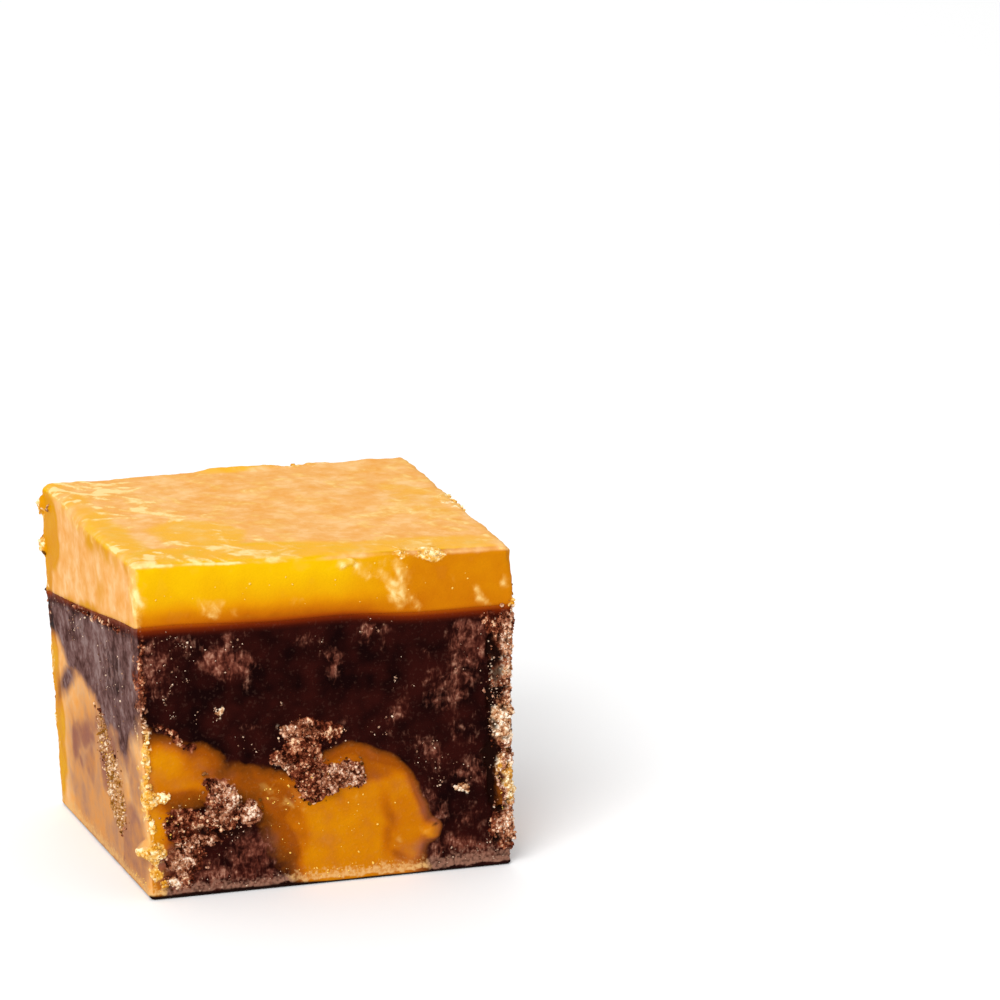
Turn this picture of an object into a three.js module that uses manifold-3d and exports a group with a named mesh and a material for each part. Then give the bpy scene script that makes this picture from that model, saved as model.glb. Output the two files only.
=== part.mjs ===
// A hand-cut cube of two-layer fudge. A clean orange layer lies on a chocolate layer that is
// marbled with the same orange. The knife cut it out of square and left torn edges and crumbs.
// Millimetres, +Z up. The origin is the centre of the footprint, on the surface it stands on.
// +X runs along the cut front, which looks along -Y, and the leaning left side looks along -X.
import * as THREE from "three";
import { mergeVertices } from "three/addons/utils/BufferGeometryUtils.js";
import Module from "manifold-3d";

const wasm = await Module();
wasm.setup();

// ---------------------------------------------------------------- driving dimensions

// The block that the knife meant to cut. Block coordinates run 0..LENGTH, 0..DEPTH, 0..HEIGHT
// from the foot of the front left edge.
const LENGTH = 30;
const DEPTH = 27;
const HEIGHT = 27;

// Where each corner really is: x and y at the foot, then x, y and z at the top.
const CORNERS = {
  frontLeft: { foot: [-13.8, -13.05], top: [-14.9, -13.35, 27.1] },
  frontRight: { foot: [15.6, -13.85], top: [15.6, -13.65, 26.2] },
  backLeft: { foot: [-14.8, 13.25], top: [-15.7, 13.85, 27.4] },
  backRight: { foot: [15.5, 13.45], top: [15.6, 13.75, 27.3] },
};

// How far each kind of edge is worn round.
const TOP_ROUND = 0.7;
const SIDE_ROUND = 0.3;
const FOOT_ROUND = 0.4;
const TORN_ROUND = 1.0; // the front right upright edge, which broke instead of being cut
const TORN_FROM = 2;
const TORN_TO = 21;

// Slow hollows and swells of the upright faces, from this far above the foot, and of the top.
const SIDE_SWELL = 0.1;
const SWELL_FROM = 6;
const TOP_SWELL = 0.05;

// The seam between the layers: level along the front, lower towards the back left.
const SEAM_FRONT = 22;
const SEAM_DROP = 4;
const SEAM_RIPPLE = 0.07;
const SEAM_GAP = 0.02; // keeps the two layers from sharing a skin

// Spacing of the facets.
const STEP = 1.5;

const GOLDEN_ANGLE = 2.39996;

// ---------------------------------------------------------------- the uneven block

const mix = THREE.MathUtils.lerp;
const clamp = THREE.MathUtils.clamp;
const smooth = THREE.MathUtils.smoothstep;

// Height of the seam above the foot, in block coordinates.
function seamHeight(a, b) {
  const back = b / DEPTH;
  const left = 1 - a / LENGTH;
  const ripple = SEAM_RIPPLE * Math.sin(0.5 * a + 0.3 * b);
  return SEAM_FRONT + ripple - SEAM_DROP * back * (0.4 + 0.6 * left);
}

// Edge radius near a point of the block's surface.
function edgeRound(a, b, c) {
  const torn = smooth(a, LENGTH - 4, LENGTH) * (1 - smooth(b, 0, 4)) *
    smooth(c, TORN_FROM, TORN_FROM + 2) * (1 - smooth(c, TORN_TO - 2, TORN_TO));
  const side = mix(SIDE_ROUND, TORN_ROUND, torn);
  const foot = mix(FOOT_ROUND, side, smooth(c, 1, 3));
  return mix(foot, TOP_ROUND, smooth(c, HEIGHT - 3, HEIGHT - 1));
}

// Pulls a point of the sharp block in to the rounded one.
function rounded(a, b, c) {
  const r = edgeRound(a, b, c);
  const core = new THREE.Vector3(
    clamp(a, r, LENGTH - r), clamp(b, r, DEPTH - r), clamp(c, r, HEIGHT - r));
  const out = new THREE.Vector3(a, b, c).sub(core);
  return core.addScaledVector(out.normalize(), r);
}

// Leans and tapers block coordinates between the real corners.
function leaned(p) {
  const u = p.x / LENGTH, v = p.y / DEPTH, t = p.z / HEIGHT;
  const at = ({ foot, top }) => new THREE.Vector3(
    mix(foot[0], top[0], t), mix(foot[1], top[1], t), mix(0, top[2], t));
  const front = at(CORNERS.frontLeft).lerp(at(CORNERS.frontRight), u);
  const back = at(CORNERS.backLeft).lerp(at(CORNERS.backRight), u);
  return front.lerp(back, v);
}

// Where a point of the block's surface lies on the real cube. The foot stays flat and straight.
function place(a, b, c) {
  const p = leaned(rounded(a, b, c));
  const swell = SIDE_SWELL * smooth(c, 0, SWELL_FROM);
  p.x += swell * Math.sin(0.31 * b + 1.2) * Math.cos(0.23 * c);
  p.y += swell * Math.sin(0.27 * a + 0.5) * Math.cos(0.21 * c + 1);
  p.z += TOP_SWELL * (c / HEIGHT) * Math.sin(0.42 * a) * Math.cos(0.34 * b);
  return p;
}

// ---------------------------------------------------------------- skins of facets

// Lines across one side of the block: two close ones at each edge for its rounding.
function lines(size) {
  const inner = size - 2 * TOP_ROUND;
  const count = Math.round(inner / STEP);
  const middle = Array.from({ length: count + 1 }, (_, i) => TOP_ROUND + (inner * i) / count);
  return [0, TOP_ROUND / 3, ...middle, size - TOP_ROUND / 3, size];
}

const LINES_A = lines(LENGTH);
const LINES_B = lines(DEPTH);

// The way round the block, seen from above against the clock, as [a, b] pairs.
const OUTLINE = [
  ...LINES_A.slice(0, -1).map((a) => [a, 0]),
  ...LINES_B.slice(0, -1).map((b) => [LENGTH, b]),
  ...LINES_A.slice(1).reverse().map((a) => [a, DEPTH]),
  ...LINES_B.slice(1).reverse().map((b) => [0, b]),
];

// The outline drawn in by `inset` and placed at the height that `level` gives.
function ring(inset, level) {
  return OUTLINE.map(([a, b]) => {
    const ia = LENGTH / 2 + (a - LENGTH / 2) * (1 - (2 * inset) / LENGTH);
    const ib = DEPTH / 2 + (b - DEPTH / 2) * (1 - (2 * inset) / DEPTH);
    return place(ia, ib, level(ia, ib));
  });
}

function quad(skin, p, q, r, s) {
  skin.push(p, q, r, p, r, s);
}

// Facets between rings, in the order that goes up the outside.
function loft(skin, rings) {
  for (let k = 0; k + 1 < rings.length; k++) {
    for (let i = 0; i < OUTLINE.length; i++) {
      const j = (i + 1) % OUTLINE.length;
      quad(skin, rings[k][i], rings[k][j], rings[k + 1][j], rings[k + 1][i]);
    }
  }
}

// A fan that closes a ring round its middle, facing up or down.
function fan(skin, edge, middle, up) {
  edge.forEach((p, i) => {
    const q = edge[(i + 1) % edge.length];
    if (up) skin.push(middle, p, q);
    else skin.push(middle, q, p);
  });
}

// The top of the block as a grid, so that it can swell.
function topGrid(skin) {
  for (let i = 0; i + 1 < LINES_A.length; i++) {
    for (let j = 0; j + 1 < LINES_B.length; j++) {
      const at = (m, n) => place(LINES_A[m], LINES_B[n], HEIGHT);
      quad(skin, at(i, j), at(i + 1, j), at(i + 1, j + 1), at(i, j + 1));
    }
  }
}

function toGeometry(skin) {
  const soup = new THREE.BufferGeometry().setFromPoints(skin);
  return mergeVertices(soup, 1e-4);
}

// ---------------------------------------------------------------- solids

function toSolid(geometry) {
  return new wasm.Manifold(new wasm.Mesh({
    numProp: 3,
    vertProperties: Float32Array.from(geometry.attributes.position.array),
    triVerts: Uint32Array.from(geometry.index.array),
  }));
}

function fromSolid(solid) {
  const { vertProperties, triVerts } = solid.getMesh();
  const geometry = new THREE.BufferGeometry();
  geometry.setAttribute("position", new THREE.BufferAttribute(vertProperties, 3));
  geometry.setIndex(new THREE.BufferAttribute(triVerts, 1));
  return geometry;
}

// One crumb: a knobbly lump of about `radius`, flattened by `flat` along the face's normal.
function crumb(centre, normal, radius, flat, turn) {
  const lump = new THREE.IcosahedronGeometry(radius, 0);
  lump.deleteAttribute("normal");
  lump.deleteAttribute("uv");
  const p = new THREE.Vector3();
  const at = lump.attributes.position;
  for (let i = 0; i < at.count; i++) {
    p.fromBufferAttribute(at, i);
    const q = p.clone().divideScalar(radius);
    p.multiplyScalar(1 + 0.18 * Math.sin(5 * q.x + turn) * Math.cos(4 * q.y - turn));
    at.setXYZ(i, p.x, p.y, p.z);
  }
  lump.rotateX(turn);
  lump.rotateZ(1.7 * turn);
  lump.scale(1, 1, flat);
  lump.applyQuaternion(
    new THREE.Quaternion().setFromUnitVectors(new THREE.Vector3(0, 0, 1), normal));
  lump.translate(centre.x, centre.y, centre.z);
  return toSolid(mergeVertices(lump, 1e-5));
}

// The four upright faces: where a point `across` and `up` of each lies, and which way it looks.
const FACES = {
  front: { at: (across, up) => place(across, 0, up), normal: new THREE.Vector3(0, -1, 0) },
  right: { at: (across, up) => place(LENGTH, across, up), normal: new THREE.Vector3(1, 0, 0) },
  back: { at: (across, up) => place(LENGTH - across, DEPTH, up), normal: new THREE.Vector3(0, 1, 0) },
  left: { at: (across, up) => place(0, DEPTH - across, up), normal: new THREE.Vector3(-1, 0, 0) },
};

// A patch of crumbs set like the seeds of a sunflower in an oval, biggest in the middle.
function crumbPatch({ face, across, up, wide, high, count, size, flat = 0.7 }) {
  const { at, normal } = FACES[face];
  return Array.from({ length: count }, (_, i) => {
    const angle = i * GOLDEN_ANGLE;
    const out = Math.sqrt((i + 0.5) / count);
    const centre = at(across + wide * out * Math.cos(angle), up + high * out * Math.sin(angle));
    const radius = size * (1.15 - 0.35 * out + 0.12 * Math.sin(3 * i));
    return crumb(centre, normal, radius, flat, i);
  });
}

// Crumbs that stick to the marbled layer, face by face, in millimetres across and up the face.
const MARBLED_CRUMBS = [
  // the raised clump in the middle of the front
  { face: "front", across: 13.3, up: 12.4, wide: 1.9, high: 1.1, count: 11, size: 0.72 },
  { face: "front", across: 12.6, up: 10.4, wide: 1.3, high: 1.0, count: 6, size: 0.75 },
  { face: "front", across: 14.0, up: 8.6, wide: 2.0, high: 1.0, count: 11, size: 0.75 },
  { face: "front", across: 16.7, up: 9.0, wide: 0.8, high: 0.9, count: 5, size: 0.65 },
  // the crumbly lower left of the front
  { face: "front", across: 6.1, up: 7.3, wide: 1.2, high: 1.8, count: 12, size: 0.62 },
  { face: "front", across: 8.5, up: 6.9, wide: 0.4, high: 0.5, count: 3, size: 0.6 },
  { face: "front", across: 3.0, up: 6.2, wide: 1.7, high: 1.5, count: 8, size: 0.5, flat: 0.5 },
  { face: "front", across: 2.8, up: 3.0, wide: 1.4, high: 1.4, count: 7, size: 0.5, flat: 0.5 },
  // single lumps of the front
  { face: "front", across: 23.4, up: 3.9, wide: 0.1, high: 0.1, count: 1, size: 0.75, flat: 0.6 },
  { face: "front", across: 25.5, up: 7.0, wide: 0.2, high: 0.1, count: 2, size: 0.32 },
  // torn edges
  { face: "front", across: 29.3, up: 18.2, wide: 0.4, high: 1.6, count: 5, size: 0.6 },
  { face: "front", across: 29.2, up: 12.0, wide: 0.5, high: 1.9, count: 7, size: 0.65 },
  { face: "front", across: 29.2, up: 6.6, wide: 0.4, high: 1.9, count: 6, size: 0.6 },
  { face: "front", across: 0.3, up: 8.8, wide: 0.3, high: 0.6, count: 3, size: 0.45 },
  { face: "left", across: 26.6, up: 4.1, wide: 0.2, high: 0.4, count: 2, size: 0.95, flat: 0.9 },
  // the sides that are turned away
  { face: "right", across: 8.5, up: 8.5, wide: 1.8, high: 1.6, count: 10, size: 0.65 },
  { face: "right", across: 19.5, up: 13.0, wide: 1.2, high: 0.9, count: 5, size: 0.6 },
  { face: "back", across: 12.0, up: 9.0, wide: 1.9, high: 1.4, count: 10, size: 0.65 },
  { face: "back", across: 22.5, up: 5.5, wide: 1.1, high: 1.0, count: 5, size: 0.6 },
];

// Flakes of the orange layer: on its front top edge and standing off its back left edge.
const ORANGE_CRUMBS = [
  { face: "front", across: 16.8, up: 26.2, wide: 0.3, high: 0.2, count: 2, size: 0.45, flat: 0.5 },
  { face: "front", across: 23.2, up: 26.5, wide: 0.8, high: 0.1, count: 4, size: 0.4, flat: 0.6 },
  { face: "left", across: 0.2, up: 25.2, wide: 0.1, high: 0.2, count: 1, size: 0.75, flat: 0.8 },
  { face: "left", across: 0.1, up: 21.9, wide: 0.1, high: 0.2, count: 1, size: 0.8, flat: 0.8 },
];

function withCrumbs(body, patches) {
  return patches.flatMap(crumbPatch).reduce((whole, lump) => whole.add(lump), body);
}

// ---------------------------------------------------------------- the two layers

const flatFoot = () => 0;
const underSeam = (a, b) => seamHeight(a, b) - SEAM_GAP / 2;
const overSeam = (a, b) => seamHeight(a, b) + SEAM_GAP / 2;
const middleAt = (level) => place(LENGTH / 2, DEPTH / 2, level(LENGTH / 2, DEPTH / 2));

function swirledLayer() {
  const skin = [];
  const inset = [FOOT_ROUND, FOOT_ROUND / 3];
  const rows = Math.round(SEAM_FRONT / STEP);
  const shares = [0, FOOT_ROUND / 3 / SEAM_FRONT, FOOT_ROUND / SEAM_FRONT];
  for (let k = 1; k <= rows; k++) shares.push(k / rows);
  const rings = [
    ...inset.map((gap) => ring(gap, flatFoot)),
    ...shares.map((share) => ring(0, (a, b) => share * underSeam(a, b))),
  ];
  fan(skin, rings[0], middleAt(flatFoot), false);
  loft(skin, rings);
  fan(skin, rings.at(-1), middleAt(underSeam), true);
  return withCrumbs(toSolid(toGeometry(skin)), MARBLED_CRUMBS);
}

function orangeLayer() {
  const skin = [];
  const rows = Math.round((HEIGHT - SEAM_FRONT) / STEP) + 1;
  const straight = 1 - TOP_ROUND / (HEIGHT - SEAM_FRONT);
  const shares = [];
  for (let k = 0; k <= rows; k++) shares.push((straight * k) / rows);
  shares.push(mix(straight, 1, 2 / 3), 1);
  const rings = shares.map((share) => ring(0, (a, b) => mix(overSeam(a, b), HEIGHT, share)));
  fan(skin, rings[0], middleAt(overSeam), false);
  loft(skin, rings);
  topGrid(skin);
  return withCrumbs(toSolid(toGeometry(skin)), ORANGE_CRUMBS);
}

function fudge(name, solid, colour, roughness) {
  const material = new THREE.MeshStandardMaterial({ color: colour, roughness, flatShading: true });
  const mesh = new THREE.Mesh(fromSolid(solid), material);
  mesh.name = name;
  return mesh;
}

const group = new THREE.Group();
group.add(fudge("swirled_layer", swirledLayer(), "#3b1c14", 0.4));
group.add(fudge("orange_layer", orangeLayer(), "#f2ab1e", 0.45));

export default group;
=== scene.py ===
"""A hand-cut cube of two-layer fudge: a clean orange layer on chocolate marbled with orange.

Block coordinates are millimetres from the foot of the front left edge of the block that the
knife meant to cut: a runs right along the front, b runs back and c runs up. Every mark on the
cube, such as a swirl, a bloom or a patch of crumbs, is an oval on one face in those millimetres
that reaches a little way into the fudge, so marks meet round the edges as in real fudge.
"""
import math

import bmesh
import bpy
import numpy as np
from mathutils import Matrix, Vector


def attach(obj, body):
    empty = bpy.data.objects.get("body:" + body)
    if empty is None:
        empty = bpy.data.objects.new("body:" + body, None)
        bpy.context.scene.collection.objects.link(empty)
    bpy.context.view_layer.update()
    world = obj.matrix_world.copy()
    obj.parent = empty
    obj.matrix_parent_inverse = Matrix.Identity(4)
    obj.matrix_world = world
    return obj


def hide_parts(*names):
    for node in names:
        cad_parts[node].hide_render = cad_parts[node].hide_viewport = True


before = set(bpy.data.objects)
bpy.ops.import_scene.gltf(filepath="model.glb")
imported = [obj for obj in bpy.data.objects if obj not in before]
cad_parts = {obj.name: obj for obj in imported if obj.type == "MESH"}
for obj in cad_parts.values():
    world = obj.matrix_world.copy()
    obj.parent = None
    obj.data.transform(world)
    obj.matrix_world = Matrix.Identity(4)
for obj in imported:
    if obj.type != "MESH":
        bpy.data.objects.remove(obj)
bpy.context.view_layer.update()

MM = 0.001

# ------------------------------------------------------------------ driving dimensions, in mm

LENGTH, DEPTH, HEIGHT = 30.0, 27.0, 27.0

# Where each corner of the block really is: x and y at the foot, then x, y and z at the top.
CORNERS = {
    "front left": ((-13.8, -13.05), (-14.9, -13.35, 27.1)),
    "front right": ((15.6, -13.85), (15.6, -13.65, 26.2)),
    "back left": ((-14.8, 13.25), (-15.7, 13.85, 27.4)),
    "back right": ((15.5, 13.45), (15.6, 13.75, 27.3)),
}

# How far each kind of edge is worn round. The front right one is torn between two heights.
TOP_ROUND = 0.7
SIDE_ROUND = 0.3
FOOT_ROUND = 0.4
TORN_ROUND = 1.0
TORN_FROM, TORN_TO = 2.0, 21.0

# How far the sides swell, in full from this height up, and how far the top does.
SIDE_SWELL = 0.1
SWELL_FROM = 6.0
TOP_SWELL = 0.05

# The seam's height at the front, how far it drops to the back left, and its ripple.
SEAM_FRONT = 22.0
SEAM_DROP = 4.0
SEAM_RIPPLE = 0.07

# Radians from one sunflower seed to the next.
GOLDEN_ANGLE = 2.39996

# Crumbs and sugar grains: their smallest and largest radius.
CHOCOLATE_CRUMB = (0.05, 0.2)
PALE_CRUMB = (0.05, 0.22)
SUGAR_GRAIN = (0.035, 0.11)

# How many lie on a square mm of a mark of strength 1, and how many more are strewn around.
CHOCOLATE_PER_MM2, CHOCOLATE_AROUND = 42.0, 5.0
PALE_PER_MM2, PALE_AROUND = 34.0, 3.0
STRAY_PER_MM2, SUGAR_PER_MM2 = 30.0, 0.75

# ------------------------------------------------------------------ stage


def build_camera():
    data = bpy.data.cameras.new("camera")
    data.lens = 100.0
    data.sensor_width = 24.0
    data.clip_start = 0.01
    camera = bpy.data.objects.new("camera", data)
    camera.location = Vector((-87.93, -311.28, 108.31)) * MM
    looking = Vector((0.3161, 0.9175, -0.2416))
    camera.rotation_euler = looking.to_track_quat("-Z", "Y").to_euler()
    bpy.context.scene.collection.objects.link(camera)
    bpy.context.scene.camera = camera


def build_floor():
    """White paper without gloss, so all that shows on it is the cube's soft shadow."""
    mesh = bpy.data.meshes.new("floor")
    half = 4.0
    mesh.from_pydata(
        [(-half, -half, 0), (half, -half, 0), (half, half, 0), (-half, half, 0)],
        [],
        [(0, 1, 2, 3)],
    )
    floor = bpy.data.objects.new("floor", mesh)
    bpy.context.scene.collection.objects.link(floor)
    material = bpy.data.materials.new("white paper sweep")
    material.use_nodes = True
    shader = material.node_tree.nodes["Principled BSDF"]
    # It has no hue of its own and gives back this share of the light.
    white = 0.97
    paper = {"Base Color": (white, white, white, 1.0), "Roughness": 0.9, "Specular IOR Level": 0.1}
    give_inputs(material.node_tree, shader, paper)
    mesh.materials.append(material)


def build_softbox(name, size, energy, location, aim):
    lamp = bpy.data.lights.new(name, "AREA")
    lamp.shape = "SQUARE"
    lamp.size = size
    lamp.energy = energy
    softbox = bpy.data.objects.new(name, lamp)
    softbox.location = location
    toward = Vector(aim) - softbox.location
    softbox.rotation_euler = toward.to_track_quat("-Z", "Y").to_euler()
    bpy.context.scene.collection.objects.link(softbox)


def build_light():
    """Even white light, a key softbox from the front left and one on the sweep behind."""
    world = bpy.data.worlds.new("studio")
    world.use_nodes = True
    background = world.node_tree.nodes["Background"]
    give_inputs(world.node_tree, background, {"Color": linear("#ffffff"), "Strength": 0.72})
    bpy.context.scene.world = world
    bpy.context.scene.view_settings.view_transform = "Standard"
    build_softbox(
        "key softbox", size=0.35, energy=3.2, location=(-0.32, -0.42, 0.42), aim=(0.0, 0.0, 0.013)
    )
    build_softbox(
        "backdrop softbox", size=0.5, energy=1.2, location=(0.12, 0.62, 0.6), aim=(0.16, 0.36, 0.0)
    )


# ------------------------------------------------------------------ random patterns


def mix(a, b, t):
    return a + (b - a) * t


def smooth(x, low, high):
    """0 below low, 1 above high, and an even S between."""
    t = np.clip((x - low) / (high - low), 0.0, 1.0)
    return t * t * (3.0 - 2.0 * t)


def scatter(cells, seed):
    """A fixed random number from 0 to 1 for each whole-numbered cell."""
    n = cells.astype(np.int64)
    h = n[..., 0] * 73856093 ^ n[..., 1] * 19349663 ^ n[..., 2] * 83492791 ^ seed * 2654435761
    h = (h ^ (h >> 13)) * 1274126177 & 0x7FFFFFFF
    h = (h ^ (h >> 16)) * 2246822519 & 0x7FFFFFFF
    return ((h ^ (h >> 15)) & 0xFFFFFF) / float(0xFFFFFF)


def noise(p, cell, seed):
    """Smooth random values from -1 to 1, in patches about cell mm across. cell may be a triple."""
    q = p / np.asarray(cell, float)
    base = np.floor(q)
    f = q - base
    f = f * f * (3.0 - 2.0 * f)
    total = np.zeros(len(p))
    for corner in np.ndindex(2, 2, 2):
        step = np.array(corner)
        weight = np.prod(np.where(step == 1, f, 1.0 - f), axis=-1)
        total += weight * scatter(base + step, seed)
    return total * 2.0 - 1.0


def rough(p, cell, seed, octaves=3):
    """Noise with finer noise on top, still about -1 to 1."""
    total = np.zeros(len(p))
    for k in range(octaves):
        total += noise(p, np.asarray(cell, float) / 2.0**k, seed + 31 * k) * 0.5**k
    return total / 1.4


def grains(p, cell, seed):
    """Knobbly grains about cell mm across: their height, from 0 to 1, and a random tone each."""
    q = p / cell
    base = np.floor(q)
    nearest = np.full(len(p), 9.0)
    tone = np.zeros(len(p))
    for corner in np.ndindex(3, 3, 3):
        spot = base + np.array(corner) - 1.0
        jitter = np.stack([scatter(spot, seed + k) for k in range(3)], axis=-1)
        size = 0.75 + 0.5 * scatter(spot, seed + 7)
        away = np.linalg.norm(q - spot - jitter, axis=-1) / size
        closer = away < nearest
        nearest = np.where(closer, away, nearest)
        tone = np.where(closer, scatter(spot, seed + 11), tone)
    height = np.sqrt(np.clip(1.0 - (nearest / 0.85) ** 2, 0.0, 1.0))
    return height, tone


def wandered(p, by, cell, seed):
    """Points pushed about by slow noise, which gives marks their natural outlines."""
    push = np.stack([noise(p, cell, seed + k) for k in range(3)], axis=-1)
    return p + by * push


# ------------------------------------------------------------------ the uneven block


def seam_height(a, b):
    """How high the seam between the layers lies, in mm."""
    ripple = SEAM_RIPPLE * np.sin(0.5 * a + 0.3 * b)
    left = 1.0 - a / LENGTH
    return SEAM_FRONT + ripple - SEAM_DROP * (b / DEPTH) * (0.4 + 0.6 * left)


def above_seam(p):
    return p[:, 2] - seam_height(p[:, 0], p[:, 1])


def edge_round(a, b, c):
    """The radius, in mm, that the block's edges are worn to at each point."""
    torn = smooth(a, LENGTH - 4.0, LENGTH) * (1.0 - smooth(b, 0.0, 4.0))
    torn = torn * smooth(c, TORN_FROM, TORN_FROM + 2.0)
    torn = torn * (1.0 - smooth(c, TORN_TO - 2.0, TORN_TO))
    side = mix(SIDE_ROUND, TORN_ROUND, torn)
    foot = mix(FOOT_ROUND, side, smooth(c, 1.0, 3.0))
    return mix(foot, TOP_ROUND, smooth(c, HEIGHT - 3.0, HEIGHT - 1.0))


def leaned(p):
    """Leans and tapers block coordinates between the real corners."""
    u, v, t = p[:, :1] / LENGTH, p[:, 1:2] / DEPTH, p[:, 2:] / HEIGHT

    def upright(name):
        foot, top = CORNERS[name]
        return mix(np.array((*foot, 0.0)), np.array(top), t)

    front = mix(upright("front left"), upright("front right"), u)
    back = mix(upright("back left"), upright("back right"), u)
    return mix(front, back, v)


def place(p, proud):
    """Where points of the block's skin lie on the real cube, in mm, raised by proud."""
    a, b, c = p.T
    r = edge_round(a, b, c)[:, None]
    core = np.clip(p, r, np.array([LENGTH, DEPTH, HEIGHT]) - r)
    out = p - core
    out /= np.maximum(np.linalg.norm(out, axis=-1, keepdims=True), 1e-9)
    q = leaned(core + out * (r + proud[:, None]))
    swell = SIDE_SWELL * smooth(c, 0.0, SWELL_FROM)
    q[:, 0] += swell * np.sin(0.31 * b + 1.2) * np.cos(0.23 * c)
    q[:, 1] += swell * np.sin(0.27 * a + 0.5) * np.cos(0.21 * c + 1.0)
    q[:, 2] += TOP_SWELL * (c / HEIGHT) * np.sin(0.42 * a) * np.cos(0.34 * b)
    return q


# For each face: the block point at (across, up), and its directions across, up and out.
FACES = {
    "front": (lambda s, t: (s, 0.0, t), (1, 0, 0), (0, 0, 1), (0, -1, 0)),
    "right": (lambda s, t: (LENGTH, s, t), (0, 1, 0), (0, 0, 1), (1, 0, 0)),
    "back": (lambda s, t: (LENGTH - s, DEPTH, t), (-1, 0, 0), (0, 0, 1), (0, 1, 0)),
    "left": (lambda s, t: (0.0, DEPTH - s, t), (0, -1, 0), (0, 0, 1), (-1, 0, 0)),
    "top": (lambda s, t: (s, t, HEIGHT), (1, 0, 0), (0, 1, 0), (0, 0, 1)),
}


def on_top(p):
    """1 on the top face, down to 0 a little below it."""
    return smooth(p[:, 2], HEIGHT - 0.6, HEIGHT - 0.1)


# ------------------------------------------------------------------ marks


def on_faces(*entries):
    """Marks, as (face, across, up, half width, half height, tilt in degrees, strength).

    A face's name stands before the marks on it. A mark that says no more lies level and has
    strength 1.
    """
    marks = []
    for entry in entries:
        if isinstance(entry, str):
            face = entry
        else:
            marks.append((face, *entry, *(0, 1)[len(entry) - 4 :]))
    return marks


# The strength of a swirl is how sharp its edge is: 1 is the usual soft fade.
ORANGE_SWIRLS = on_faces(
    # front: the left edge, two lobes beside it, a link, the big arch and a chunk on its right
    "front",
    (0.0, 6.6, 1.1, 7.6), (1.6, 11.0, 2.5, 2.2), (4.4, 10.5, 1.8, 1.8),
    (4.8, 10.9, 1.2, 1.4, 0, 1.2), (2.8, 9.2, 3.4, 1.7), (8.1, 8.9, 2.7, 1.35, -8),
    (11.3, 7.0, 3.4, 2.4, -38), (13.0, 5.0, 3.8, 3.4, -40), (17.0, 4.5, 6.05, 6.75, 0, 1.4),
    (18.6, 0.6, 4.4, 2.6), (23.1, 3.7, 1.05, 0.95, 20, 3), (29.9, 7.2, 1.5, 2.9),
    # left: all the fudge below the chocolate band
    "left",
    (1.5, 8.0, 6.5, 7.3), (9.0, 9.0, 5.0, 4.6), (12.0, 6.0, 6.0, 7.0), (19.0, 4.5, 6.5, 7.0),
    (25.6, 7.0, 3.4, 6.2), (13.5, 1.0, 16.0, 6.0),
    "right",
    (11.0, 3.0, 6.2, 5.2), (16.6, 6.4, 4.4, 2.4, 30), (21.6, 9.0, 3.6, 2.0, 22),
    (26.4, 9.0, 2.6, 5.0),
    "back",
    (1.5, 9.0, 4.0, 4.8), (7.0, 5.4, 4.6, 2.4, -26), (13.0, 3.2, 5.2, 3.4),
    (19.5, 6.4, 4.4, 2.4, 30), (25.0, 8.6, 4.0, 4.6), (28.6, 8.0, 3.6, 7.3),
)

CHOCOLATE_VEINS = on_faces(
    "front",
    (7.4, 12.0, 0.9, 1.9, 14),
    "left",
    (5.3, 12.0, 2.6, 0.7, 33), (21.4, 10.9, 1.7, 0.7, 5),
    "right",
    (12.8, 3.6, 0.5, 2.3, 24, 0.8), (22.4, 8.2, 3.0, 0.5, 16, 0.8),
    "back",
    (9.4, 5.6, 2.6, 0.5, -30, 0.8), (23.4, 7.0, 0.6, 2.6, -24, 0.8),
    (15.6, 2.2, 0.5, 1.7, 20, 0.7),
)

# Where orange and chocolate were stirred into each other and the border is a slow brown fade.
STIRRED = on_faces(
    "front",
    (10.3, 3.8, 1.8, 3.6, 30), (8.3, 7.5, 1.6, 2.0, 0, 0.8), (3.2, 8.0, 2.6, 1.0, 0, 0.8),
    (13.6, 7.2, 1.4, 0.8, 0, 0.8), (7.0, 10.5, 0.9, 1.2, 0, 0.7),
    "left",
    (8.0, 7.5, 5.0, 3.0), (18.0, 6.0, 6.0, 5.0),
    "right",
    (17.0, 5.0, 3.4, 2.4, 20, 0.8), (6.0, 3.0, 2.0, 3.0, 0, 0.8),
    "back",
    (9.0, 5.0, 3.0, 2.4, -20, 0.8), (20.0, 5.0, 2.6, 2.6, 0, 0.8),
)

# Deeper amber inside the orange swirls, where a little chocolate was stirred in.
AMBER_CURLS = on_faces(
    "front",
    (10.3, 7.2, 1.7, 1.7), (11.7, 4.8, 1.3, 2.4, 10, 0.75), (19.7, 5.4, 0.5, 1.7, 14, 0.9),
    (19.5, 3.4, 0.45, 1.3, -4, 0.9), (20.3, 1.9, 0.9, 0.35, -35, 0.9),
    (20.8, 4.4, 1.6, 2.4, 0, 0.35), (22.6, 6.4, 0.8, 2.6, 18, 0.7),
    (17.5, 9.8, 3.4, 1.5, -10, 0.8), (8.2, 9.6, 2.6, 1.2, -10, 0.75),
    (5.2, 10.8, 1.6, 1.5, 0, 0.5), (3.2, 8.0, 2.4, 0.8, 0, 0.5),
    "right",
    (10.0, 5.4, 3.4, 1.2, 10, 0.6), (15.8, 3.0, 0.7, 2.2, 20, 0.6),
    "back",
    (4.0, 6.4, 2.2, 0.9, -20, 0.6), (25.5, 10.6, 2.6, 1.2, 10, 0.6),
)

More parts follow.
